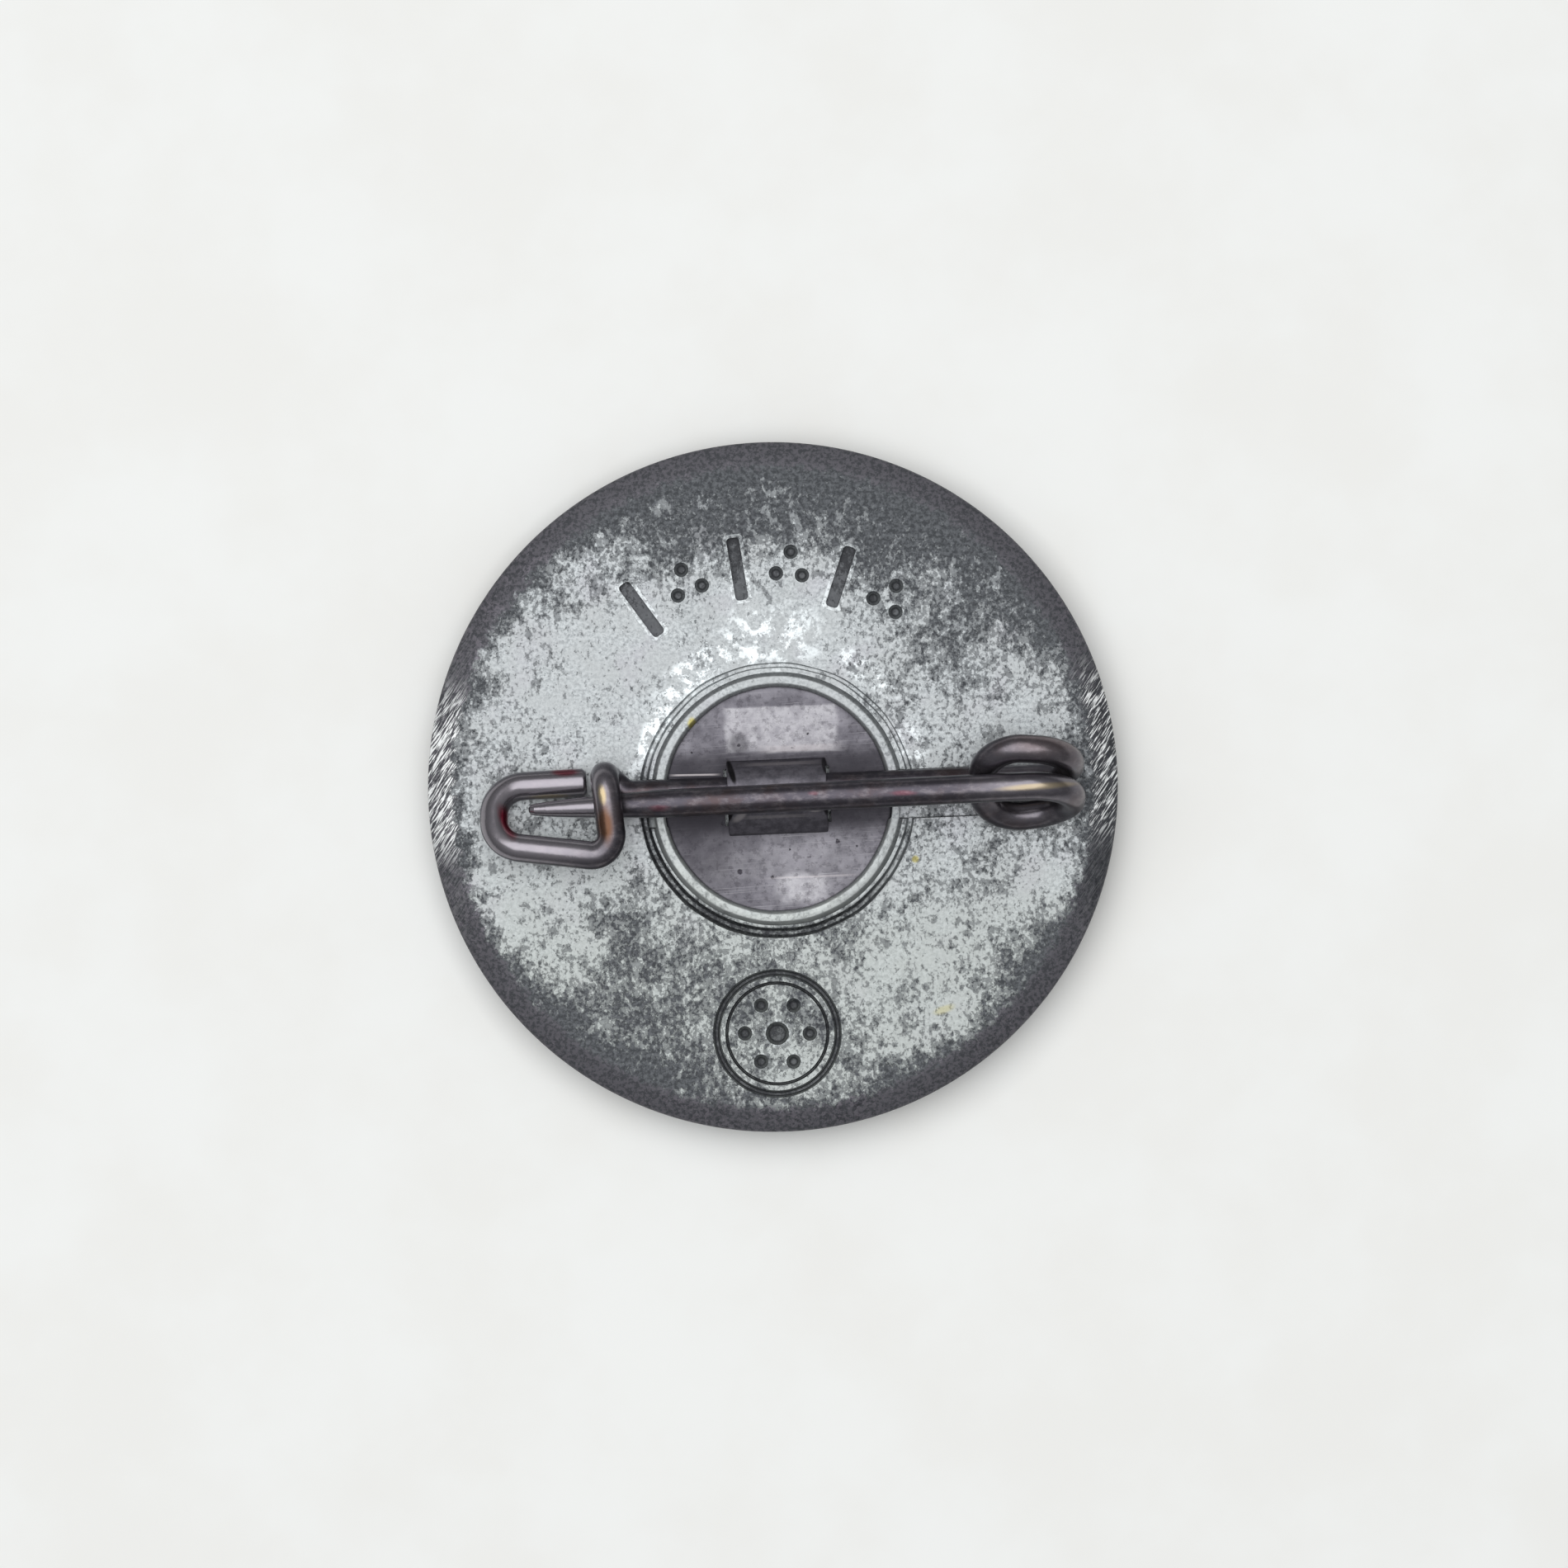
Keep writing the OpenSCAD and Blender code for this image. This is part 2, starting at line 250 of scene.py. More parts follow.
def placed(part: bmesh.types.BMesh, place: Matrix) -> bmesh.types.BMesh:
    """Moves a whole shape.

    Args:
        part: The shape.
        place: Where it goes.

    Returns:
        The same shape.
    """
    bmesh.ops.transform(part, matrix=place, verts=part.verts)
    return part


def uneven(part: bmesh.types.BMesh, amount: float, scale: float) -> bmesh.types.BMesh:
    """Shifts every vertex a little, as tools and hands do.

    Args:
        part: The shape.
        amount: Largest shift in millimetres.
        scale: How many times it changes per millimetre.

    Returns:
        The same shape.
    """
    for vertex in part.verts:
        vertex.co += noise.noise_vector(vertex.co * scale) * amount
    return part


def as_object(part: bmesh.types.BMesh, name: str) -> bpy.types.Object:
    """Makes an object of a shape and frees the shape.

    Args:
        part: The shape.
        name: Name of the object and its mesh.

    Returns:
        The linked object.
    """
    mesh = bpy.data.meshes.new(name)
    part.to_mesh(mesh)
    part.free()
    made = bpy.data.objects.new(name, mesh)
    bpy.context.scene.collection.objects.link(made)
    return made


def worked(made: bpy.types.Object, operation: str, tool: bmesh.types.BMesh) -> None:
    """Cuts a tool out of an object, or joins it on, and applies the result.

    Args:
        made: The object that is worked.
        operation: DIFFERENCE or UNION.
        tool: The shape that is cut out or joined on. It is freed.
    """
    helper = as_object(tool, "tool")
    step = made.modifiers.new("tool", "BOOLEAN")
    step.operation = operation
    step.object = helper
    step.solver = "EXACT"
    step.use_self = False
    settle(made)
    bpy.data.objects.remove(helper)


def settle(made: bpy.types.Object) -> None:
    """Applies every modifier of an object.

    Args:
        made: The object.
    """
    bpy.context.view_layer.update()
    seen = made.evaluated_get(bpy.context.evaluated_depsgraph_get())
    result = bpy.data.meshes.new_from_object(seen)
    former, name = made.data, made.data.name
    made.modifiers.clear()
    made.data = result
    bpy.data.meshes.remove(former)
    result.name = name


def finished(made: bpy.types.Object, place: Matrix, edge_angle: float = 32) -> bpy.types.Object:
    """Lays an object drawn in millimetres into the frame and shades it.

    Args:
        made: The object, whose mesh is in millimetres.
        place: From the drawing's frame to the badge's, in millimetres.
        edge_angle: Angle in degrees past which an edge is shaded sharp.

    Returns:
        The same object, at the origin, in metres.
    """
    mesh = made.data
    mesh.transform(Matrix.Scale(MM, 4) @ place)
    mesh.shade_smooth()
    mesh.set_sharp_from_angle(angle=math.radians(edge_angle))
    mesh.update()
    return made


# ---------------------------------------------------------------------------------------------
# Materials
# ---------------------------------------------------------------------------------------------


class Bench:
    """Lays out the nodes of one material, world or group."""

    def __init__(self, tree: bpy.types.NodeTree) -> None:
        """Starts on an empty tree."""
        self.tree = tree

    def node(
        self, kind: str, feeds: dict[Union[str, int], Feed] | None = None, **settings: Any
    ) -> bpy.types.Node:
        """Adds one node.

        Args:
            kind: Its type without the leading ShaderNode.
            feeds: What goes into its sockets, by name or index.
            settings: Its own properties.

        Returns:
            The node.
        """
        made = self.tree.nodes.new(kind if kind.startswith("Node") else "ShaderNode" + kind)
        for key, value in settings.items():
            setattr(made, key, value)
        for key, value in (feeds or {}).items():
            self.feed(made.inputs[key], value)
        return made

    def feed(self, socket: Socket, value: Feed) -> None:
        """Links a socket, or sets its own value."""
        if isinstance(value, bpy.types.NodeSocket):
            self.tree.links.new(value, socket)
        elif isinstance(value, (tuple, list)) and socket.type == "RGBA" and len(value) == 3:
            socket.default_value = (*value, 1)
        else:
            socket.default_value = value

    def math(self, operation: str, first: Feed, second: Feed = 0.0) -> Socket:
        """Does one sum on values and returns its socket."""
        return self.node("Math", {0: first, 1: second}, operation=operation).outputs[0]

    def times(self, first: Feed, *others: Feed) -> Feed:
        """Multiplies values together."""
        for other in others:
            first = self.math("MULTIPLY", first, other)
        return first

    def vector(self, operation: str, first: Feed, second: Feed = (0, 0, 0)) -> Socket:
        """Does one sum on vectors and returns its socket."""
        return self.node("VectorMath", {0: first, 1: second}, operation=operation).outputs[0]

    def length(self, value: Socket) -> Socket:
        """Returns the length of a vector."""
        return self.node("VectorMath", {0: value}, operation="LENGTH").outputs["Value"]

    def split(self, value: Socket) -> tuple[Socket, Socket, Socket]:
        """Returns the three parts of a vector."""
        made = self.node("SeparateXYZ", {0: value})
        return made.outputs[0], made.outputs[1], made.outputs[2]

    def step(self, value: Feed, low: Feed, high: Feed, bottom: Feed = 0.0, top: Feed = 1.0) -> Socket:
        """Rises softly from bottom to top as the value goes from low to high."""
        feeds = {"Value": value, "From Min": low, "From Max": high, "To Min": bottom, "To Max": top}
        return self.node("MapRange", feeds, interpolation_type="SMOOTHSTEP").outputs[0]

    def span(self, value: Feed, bottom: Feed, top: Feed) -> Socket:
        """Goes evenly from bottom to top as the value goes from 0 to 1."""
        return self.node("MapRange", {"Value": value, "To Min": bottom, "To Max": top}).outputs[0]

    def band(self, value: Feed, rise: Spot, fall: Spot) -> Feed:
        """Is one from where the value has passed the rise to where it meets the fall."""
        return self.times(self.step(value, *rise), self.step(value, *fall, 1.0, 0.0))

    def mix(self, share: Feed, first: Feed, second: Feed) -> Socket:
        """Mixes two colours.

        Args:
            share: How much of the second colour there is.
            first: The first colour.
            second: The second colour.

        Returns:
            The mixed colour.
        """
        made = self.node("Mix", data_type="RGBA", clamp_factor=True)
        for index, value in ((0, share), (6, first), (7, second)):
            self.feed(made.inputs[index], value)
        return made.outputs[2]

    def cloud(self, place: Socket, scale: Feed, detail: float = 3, rough: float = 0.5) -> Socket:
        """Returns the value of a noise."""
        feeds = {"Vector": place, "Scale": scale, "Detail": detail, "Roughness": rough}
        return self.node("TexNoise", feeds).outputs[0]

    def use(self, group: bpy.types.NodeTree, **feeds: Feed) -> bpy.types.Node:
        """Places a group and feeds its inputs.

        Args:
            group: The group.
            feeds: What goes into its inputs, whose names have underscores for spaces.

        Returns:
            The group's node.
        """
        made = self.node("Group", node_tree=group)
        for key, value in feeds.items():
            self.feed(made.inputs[key.replace("_", " ")], value)
        return made

    def place(self) -> Socket:
        """Reads where on the object a spot is.

        Returns:
            The object's own coordinates, in millimetres.
        """
        where = self.node("TexCoord").outputs["Object"]
        scaled = self.node("VectorMath", {0: where, "Scale": 1 / MM}, operation="SCALE")
        return scaled.outputs[0]

    def bump(
        self, height: Feed, depth: float, strength: float = 1.0, under: Optional[Socket] = None
    ) -> Socket:
        """Raises the surface a little.

        Args:
            height: How high each spot is, from 0 to 1.
            depth: What a height of 1 stands for, in millimetres.
            strength: How much of the rise is seen.
            under: The normal that it is raised from, or None for the mesh's own.

        Returns:
            The normal.
        """
        feeds: dict[Union[str, int], Feed] = {
            "Height": height, "Distance": depth * MM, "Strength": strength,
        }
        if under is not None:
            feeds["Normal"] = under
        return self.node("Bump", feeds).outputs[0]


def new_group(
    name: str, ins: dict[str, Any]
) -> tuple[bpy.types.NodeTree, Bench, dict[str, Socket], bpy.types.Node]:
    """Starts a shader node group that gives one mask.

    Args:
        name: Name of the group.
        ins: Default of each input, by name: a number or a vector.

    Returns:
        The tree, a bench for it, its input sockets by name, and the output node.
    """
    tree = bpy.data.node_groups.new(name, "ShaderNodeTree")
    for key, value in ins.items():
        kind = "NodeSocketVector" if isinstance(value, tuple) else "NodeSocketFloat"
        socket = tree.interface.new_socket(name=key, in_out="INPUT", socket_type=kind)
        socket.default_value = value
    tree.interface.new_socket(name="Mask", in_out="OUTPUT", socket_type="NodeSocketFloat")
    bench = Bench(tree)
    entry = bench.node("NodeGroupInput")
    leave = bench.node("NodeGroupOutput")
    return tree, bench, {socket.name: socket for socket in entry.outputs if socket.name}, leave


FLECK_LEVELS = (0.655, 0.345)
STROKE_LEVELS = (0.72, 0.38)
STROKE_EDGE = 0.09
RAGGED_SWING = 4.0
PIT_WOBBLE = (0.12, 0.12, 0.12)
SMALLEST_PIT = 0.35


class Effects:
    """The effects that several finishes share, each a node group."""

    def __init__(self) -> None:
        """Builds every group once."""
        self.flecks = self.build_flecks()
        self.strokes = self.build_strokes()
        self.patch = self.build_patch()
        self.pits = self.build_pits()

    @staticmethod
    def build_flecks() -> bpy.types.NodeTree:
        """Small ragged flecks that cover a given share of a surface.

        Returns:
            The group, with a mask of the flecks.
        """
        ins = {"Place": (0.0, 0.0, 0.0), "Grain": 4.0, "Stretch": 1.0, "Coverage": 0.5, "Softness": 0.06}
        tree, bench, given, leave = new_group("fleck patina", ins)
        x, y, z = bench.split(given["Place"])
        flattened = bench.math("DIVIDE", y, given["Stretch"])
        squeezed = bench.node("CombineXYZ", {0: x, 1: flattened, 2: z}).outputs[0]
        blend = bench.cloud(squeezed, given["Grain"], 6, 0.7)
        level = bench.span(given["Coverage"], *FLECK_LEVELS)
        low = bench.math("SUBTRACT", level, given["Softness"])
        high = bench.math("ADD", level, given["Softness"])
        bench.feed(leave.inputs["Mask"], bench.step(blend, low, high))
        return tree

    @staticmethod
    def build_strokes() -> bpy.types.NodeTree:
        """Long thin marks of a file or a brush, all one way.

        Returns:
            The group, with a mask of the marks.
        """
        ins = {"Place": (0.0, 0.0, 0.0), "Turn": 0.0, "Width": 0.05, "Length": 0.8, "Amount": 0.5}
        tree, bench, given, leave = new_group("tool strokes", ins)
        feeds = {"Vector": given["Place"], "Angle": bench.math("MULTIPLY", given["Turn"], -1.0)}
        turned_place = bench.node("VectorRotate", feeds, rotation_type="Z_AXIS").outputs[0]
        x, y, z = bench.split(turned_place)
        along = bench.math("DIVIDE", x, given["Length"])
        across = bench.math("DIVIDE", y, given["Width"])
        streak = bench.node("CombineXYZ", {0: along, 1: across, 2: z}).outputs[0]
        value = bench.cloud(streak, 1.0, 2, 0.55)
        level = bench.span(given["Amount"], *STROKE_LEVELS)
        bench.feed(leave.inputs["Mask"], bench.step(value, level, bench.math("ADD", level, STROKE_EDGE)))
        return tree

    @staticmethod
    def build_patch() -> bpy.types.NodeTree:
        """One soft oval patch with a ragged rim, at a chosen place.

        Returns:
            The group, with a mask of the patch.
        """
        ins = {
            "Place": (0.0, 0.0, 0.0), "Centre": (0.0, 0.0, 0.0), "Size": (1.0, 1.0, 1.0), "Turn": 0.0,
            "Ragged": 0.3, "Soft": 0.5, "Square": 0.0,
        }
        tree, bench, given, leave = new_group("soft patch", ins)
        offset = bench.vector("SUBTRACT", given["Place"], given["Centre"])
        feeds = {"Vector": offset, "Angle": bench.math("MULTIPLY", given["Turn"], -1.0)}
        offset = bench.node("VectorRotate", feeds, rotation_type="Z_AXIS").outputs[0]
        shares = bench.vector("DIVIDE", offset, given["Size"])
        x, y, z = bench.split(bench.vector("ABSOLUTE", shares))
        boxed = bench.math("MAXIMUM", bench.math("MAXIMUM", x, y), z)
        rounded = bench.length(shares)
        squarer = bench.times(bench.math("SUBTRACT", boxed, rounded), given["Square"])
        reach = bench.math("ADD", rounded, squarer)
        ragged = bench.math("SUBTRACT", bench.cloud(given["Place"], 1.1, 5, 0.6), 0.5)
        reach = bench.math("ADD", reach, bench.times(ragged, given["Ragged"], RAGGED_SWING))
        high = bench.math("ADD", 1.0, given["Soft"])
        low = bench.math("SUBTRACT", 1.0, given["Soft"])
        bench.feed(leave.inputs["Mask"], bench.step(reach, low, high, 1.0, 0.0))
        return tree

    @staticmethod
    def build_pits() -> bpy.types.NodeTree:
        """Scattered small round pits.

        Returns:
            The group, with a mask of the pits.
        """
        ins = {"Place": (0.0, 0.0, 0.0), "Spacing": 0.8, "Radius": 0.1, "Share": 0.5}
        tree, bench, given, leave = new_group("small pits", ins)
        wobble = bench.node("TexNoise", {"Vector": given["Place"], "Scale": 6.0, "Detail": 2.0}).outputs[1]
        shifted = bench.vector("ADD", given["Place"], bench.vector("MULTIPLY", wobble, PIT_WOBBLE))
        closeness = bench.math("DIVIDE", 1.0, given["Spacing"])
        cells = bench.node("TexVoronoi", {"Vector": shifted, "Scale": closeness})
        reach = bench.times(cells.outputs["Distance"], given["Spacing"])
        red, green, _ = bench.split(cells.outputs["Color"])
        size = bench.times(given["Radius"], bench.math("ADD", SMALLEST_PIT, green))
        inside = bench.step(reach, bench.times(size, 0.5), size, 1.0, 0.0)
        chosen = bench.math("LESS_THAN", red, given["Share"])
        bench.feed(leave.inputs["Mask"], bench.times(inside, chosen))
        return tree


def new_material(name: str) -> tuple[bpy.types.Material, Bench, bpy.types.Node]:
    """Starts a material with one Principled shader.

    Args:
        name: Name of the material.

    Returns:
        The material, a bench for its nodes and the shader.
    """
    material = bpy.data.materials.new(name)
    material.use_nodes = True
    material.node_tree.nodes.clear()
    bench = Bench(material.node_tree)
    shader = bench.node("BsdfPrincipled")
    bench.node("OutputMaterial", {"Surface": shader.outputs[0]})
    return material, bench, shader


ANY_HEIGHT = 1e3


@dataclass(frozen=True)
class Patch:
    """One soft patch of a finish: its middle and half sizes in millimetres, turn and strength."""

    x: float
    y: float
    wide: float
    high: float
    turn: float = 0.0
    strength: float = 1.0
    ragged: float = 0.3
    soft: float = 0.5
    square: float = 0.0

    def laid(self, bench: Bench, effects: Effects, place: Socket) -> Feed:
        """Lays the patch on a bench.

        Args:
            bench: The material's bench.
            effects: The shared groups.
            place: Coordinates in millimetres.

        Returns:
            The mask times the strength.
        """
        made = bench.use(
            effects.patch, Place=place, Centre=(self.x, self.y, 0.0), Size=(self.wide, self.high, ANY_HEIGHT),
            Turn=math.radians(self.turn), Ragged=self.ragged, Soft=self.soft, Square=self.square,
        )
        return bench.times(made.outputs[0], self.strength)


def strongest(
    bench: Bench, effects: Effects, patches: Iterable[Patch], place: Socket, start: Feed = 0.0
) -> Feed:
    """Lays several patches, the strongest on top.

    Args:
        bench: The material's bench.
        effects: The shared groups.
        patches: The patches.
        place: Coordinates in millimetres.
        start: What is there before them.

    Returns:
        The mask of them all.
    """
    for patch in patches:
        start = bench.math("MAXIMUM", start, patch.laid(bench, effects, place))
    return start


def stained(
    bench: Bench, effects: Effects, patches: Iterable[Patch], place: Socket, colour: Feed, stain: Colour
) -> Feed:
    """Lays several patches of one colour over another.

    Args:
        bench: The material's bench.
        effects: The shared groups.
        patches: The patches.
        place: Coordinates in millimetres.
        colour: The colour under them.
        stain: Their colour.

    Returns:
        The colour with the patches on it.
    """
    for patch in patches:
        colour = bench.mix(patch.laid(bench, effects, place), colour, stain)
    return colour


@dataclass(frozen=True)
class ZincPatina:
    """Struck zinc, light where it is clean and flecked dark where it has tarnished, with painted highlights
    and painted shade.
    """

    clean: Colour = tone(149, 152, 153)
    frost: Colour = tone(171, 176, 178)
    shade: Colour = tone(117, 121, 124)
    mossy: Colour = tone(147, 152, 147)
    # Painted highlight colour, for the glinting patches and the burrs round the punched marks.
    painted_highlight: Colour = tone(214, 220, 222)
    dark: Colour = tone(56, 59, 63)
    ashen: Colour = tone(96, 99, 103)
    # Dark colour of the painted shade in the groove and of the darkened punch-mark floors.
    soot_and_shade: Colour = tone(46, 47, 51)
    lilac: Colour = tone(150, 146, 155)
    # Painted highlight colour of the lip on its lower side.
    lip_highlight: Colour = tone(166, 170, 168)
    lichen: Colour = tone(160, 150, 70)
    filed: Colour = tone(108, 105, 112)
    scratched: Colour = tone(120, 118, 124)
    # Painted highlight colour of the file strokes at the rim's two sides.
    stroke_highlight: Colour = tone(250, 252, 252)
    drift_shift: tuple[float, float, float] = (31.0, 7.0, 0.0)
    seen_cover: Spot = (0.03, 0.95)
    metallic: Spot = (0.85, 0.45)
    roughness: Spot = (0.42, 0.62)
    relief: float = 0.02
    rim_start: float = 10.62
    file_turn: float = 57.0
    base_cover: float = 0.34
    plate_spot: Spot = (0.15, -0.4)
    lip: Spot = (3.72, 4.2)
    groove: Spot = (4.28, 4.66)
    past_groove: Spot = (4.8, 4.9)
    back: float = 2.0
    fleck_sizes: tuple[tuple[float, float, float], ...] = ((2.8, 1.35, 0.03), (6.5, 1.25, 0.04))
    covers: tuple[Patch, ...] = (
        Patch(0.6, 10.2, 8.0, 2.3, 0, 0.40, 0.1, 0.5),
        Patch(1.0, 2.0, 7.5, 6.35, 0, -0.10, 0.03, 0.06),
        Patch(6.8, 6.2, 3.4, 2.6, -40, 0.28, 0.12, 0.8),
        Patch(-2.6, 7.8, 1.6, 1.0, 15, 0.20, 0.15, 0.7),
        Patch(3.6, 7.2, 1.6, 0.9, -20, 0.20, 0.15, 0.7),
        Patch(5.2, 4.6, 1.6, 1.4, 0, 0.12, 0.1, 0.9),
        Patch(8.2, 3.2, 2.2, 1.6, 0, -0.06, 0.1, 0.9),
        Patch(-5.6, 7.2, 1.8, 1.2, 30, 0.14, 0.1, 0.8),
        Patch(7.4, -1.8, 2.2, 1.2, 0, 0.10, 0.1, 0.9),
        Patch(3.6, -7.8, 2.0, 0.9, 30, 0.10, 0.1, 0.8),
        Patch(-6.9, -5.4, 1.2, 1.2, 0, -0.14, 0.1, 0.8),
        Patch(7.4, -7.2, 1.0, 1.0, 0, -0.14, 0.1, 0.8),
        Patch(10.2, -3.2, 0.9, 1.6, 0, -0.25, 0.1, 0.7),
        Patch(-5.2, -6.6, 3.6, 2.2, -25, 0.20, 0.1, 0.9),
        Patch(-5.9, -8.6, 2.5, 1.5, -35, 0.16, 0.1, 0.9),
        Patch(0.0, -7.0, 2.5, 2.5, 0, 0.12, 0.1, 0.9),
        Patch(-3.0, -9.6, 1.6, 0.8, 10, 0.16, 0.1, 0.7),
        Patch(0.2, -10.3, 3.0, 0.8, 0, -0.12, 0.1, 0.7),
        Patch(5.2, -9.0, 2.0, 1.3, 30, 0.12, 0.1, 0.9),
        Patch(8.4, -6.0, 1.2, 2.2, -35, 0.20, 0.1, 0.7),
        Patch(-5.0, 3.2, 4.6, 3.6, 0, -0.18, 0.1, 0.8),
        Patch(0.6, 5.2, 2.4, 1.4, 0, -0.20, 0.1, 0.7),
        Patch(4.9, -6.4, 2.1, 2.3, -20, -0.16, 0.1, 0.4),
        Patch(-8.2, -3.6, 2.4, 1.8, 0, -0.24, 0.1, 0.8),
        Patch(9.0, 2.4, 1.4, 2.4, 0, -0.10, 0.1, 0.9),
        Patch(8.8, -2.9, 1.1, 1.3, 0, -0.18, 0.1, 0.8),
    )
    # Painted highlights: glinting patches round the upper side of the lip.
    painted_glints: tuple[Patch, ...] = (
        Patch(-0.1, 5.0, 1.5, 1.0, 0, 0.8, 0.35, 0.5),
        Patch(-2.5, 3.9, 1.9, 0.5, 38, 1.0, 0.3, 0.5),
        Patch(-3.9, 2.0, 1.5, 0.3, 62, 1.0, 0.3, 0.5),
        Patch(3.0, 3.9, 1.3, 0.35, -38, 0.8, 0.35, 0.5),
        Patch(4.6, 1.2, 0.5, 0.9, 0, 0.7, 0.35, 0.5),
    )
    specks: tuple[Patch, ...] = (
        Patch(-2.68, 2.1, 0.14, 0.2, 0, 0.8, 0.3, 0.4),
        Patch(4.74, -2.4, 0.12, 0.12, 0, 0.7, 0.3, 0.4),
        Patch(5.7, -7.4, 0.3, 0.12, 20, 0.35, 0.4, 0.5),
    )

    def cover(self, bench: Bench, effects: Effects, flat: Socket, radius: Socket) -> Socket:
        """Works out how much of the surface is tarnished at each spot.

        Args:
            bench: The material's bench.
            effects: The shared groups.
            flat: Coordinates on the disc, in millimetres.
            radius: Distance from the disc's axis.

        Returns:
            The share that is tarnished.
        """
        drift = bench.step(bench.cloud(flat, 0.55, 3, 0.55), 0.3, 0.7, -0.13, 0.13)
        cover: Socket = bench.math("ADD", self.base_cover, drift)
        for patch in self.covers:
            cover = bench.math("ADD", cover, patch.laid(bench, effects, flat))
        fray = bench.step(bench.cloud(flat, 1.3, 4, 0.65), 0.3, 0.7, -0.4, 0.4)
        edge = bench.math("ADD", radius, fray)
        at_rim = bench.step(edge, self.rim_start - 0.9, self.rim_start + 0.1, 0.0, 0.36)
        least, most = self.seen_cover
        return bench.math("MAXIMUM", bench.math("MINIMUM", bench.math("ADD", cover, at_rim), most), least)

    def body(self, bench: Bench, effects: Effects, place: Socket, flat: Socket, grain: Socket) -> Socket:
        """Colours the clean metal: grey, with frost, a lilac cast, a green one below and painted highlights
        as glinting patches.

        Args:
            bench: The material's bench.
            effects: The shared groups.
            place: Coordinates in millimetres.
            flat: The same on the disc's plane.
            grain: Fine noise.

        Returns:
            The colour.
        """
        _, y, _ = bench.split(place)
        body = bench.mix(bench.step(grain, 0.36, 0.62), self.shade, self.frost)
        body = bench.mix(bench.step(bench.cloud(place, 0.9), 0.3, 0.7, 0.35, 0.8), body, self.clean)
        away = bench.vector("ADD", place, self.drift_shift)
        body = bench.mix(bench.step(bench.cloud(away, 0.55), 0.5, 0.75, 0.0, 0.25), body, self.lilac)
        body = bench.mix(bench.step(y, -1.0, -6.0, 0.0, 0.45), body, self.mossy)
        # Painted highlight: the glinting patches, broken into blotches, are mixed towards a near-white
        # colour.
        painted_glint = strongest(bench, effects, self.painted_glints, flat)
        sparkle = bench.step(bench.cloud(place, 2.4, 6, 0.75), 0.48, 0.58)
        return bench.mix(bench.times(painted_glint, sparkle), body, self.painted_highlight)

    def filing(self, bench: Bench, effects: Effects, place: Socket) -> tuple[Feed, Socket]:
        """Lays the marks of the file on the sloping rim.

        Args:
            bench: The material's bench.
            effects: The shared groups.
            place: Coordinates in millimetres.

        Returns:
            The file strokes at the two sides, painted as highlights, and the fine scratches all round.
        """
        x, y, z = bench.split(place)
        turn = math.radians(self.file_turn)
        amount = bench.step(x, -1.0, 1.0, 0.74, 0.62)
        bold = bench.use(effects.strokes, Place=place, Turn=turn, Width=0.045, Length=0.5, Amount=amount)
        fine = bench.use(effects.strokes, Place=place, Turn=turn, Width=0.025, Length=0.6, Amount=0.5)
        # Painted highlight: only strokes at the far left and right of the rim are lightened, where they catch
        # the light.
        side = bench.step(bench.math("ABSOLUTE", x), 9.6, 10.7)
        middle = bench.step(x, -1.0, 1.0, 0.4, 1.2)
        aside = bench.math("ABSOLUTE", bench.math("SUBTRACT", y, middle))
        on_top = bench.step(z, self.back - 0.5, self.back - 0.38)
        painted_highlight = bench.times(bold.outputs[0], side, bench.step(aside, 1.7, 3.4, 1.0, 0.06), on_top)
        return painted_highlight, fine.outputs[0]

    def rim(
        self, bench: Bench, place: Socket, painted_highlight: Feed, scratches: Socket, flecks: Socket, grain: Socket
    ) -> Socket:
        """Colours the filed rim and the side of the disc, with painted shade at the right beside the coil.

        Args:
            bench: The material's bench.
            place: Coordinates in millimetres.
            painted_highlight: Mask of the file strokes that are painted as highlights.
            scratches: Mask of the fine scratches.
            flecks: Mask of the patina's flecks.
            grain: Fine noise.

        Returns:
            The colour.
        """
        x, y, _ = bench.split(place)
        filed = bench.mix(bench.times(scratches, 0.45), self.filed, self.scratched)
        # Painted shade: the right of the rim beside the coil is darkened, together with the patina's flecks.
        near_coil = bench.step(bench.math("ABSOLUTE", y), 3.0, 6.0, 0.7, 0.0)
        right = bench.times(bench.step(x, 8.5, 10.8), near_coil)
        filed = bench.mix(bench.math("MAXIMUM", right, bench.times(flecks, 0.35)), filed, self.dark)
        filed = bench.mix(bench.step(grain, 0.42, 0.6, 0.0, 0.8), filed, self.dark)
        # Painted highlight: the chosen file strokes are mixed towards near white.
        return bench.mix(painted_highlight, filed, self.stroke_highlight)

    def sunk(self, bench: Bench, place: Socket, ring: Socket, radius: Socket) -> Feed:
        """Finds the floors of the punched marks.

        Args:
            bench: The material's bench.
            place: Coordinates in millimetres.
            ring: Distance from the plate's middle.
            radius: Distance from the disc's axis.

        Returns:
            The mask.
        """
        _, y, z = bench.split(place)
        below = bench.step(z, self.back - 0.15, self.back - 0.05, 1.0, 0.0)
        off_wire = bench.step(bench.math("ABSOLUTE", y), 2.4, 2.8)
        off_plate = bench.step(ring, *self.past_groove)
        inside = bench.step(radius, self.rim_start - 0.3, self.rim_start - 0.2, 1.0, 0.0)
        return bench.times(below, off_wire, off_plate, inside, bench.math("GREATER_THAN", z, self.back - 0.4))

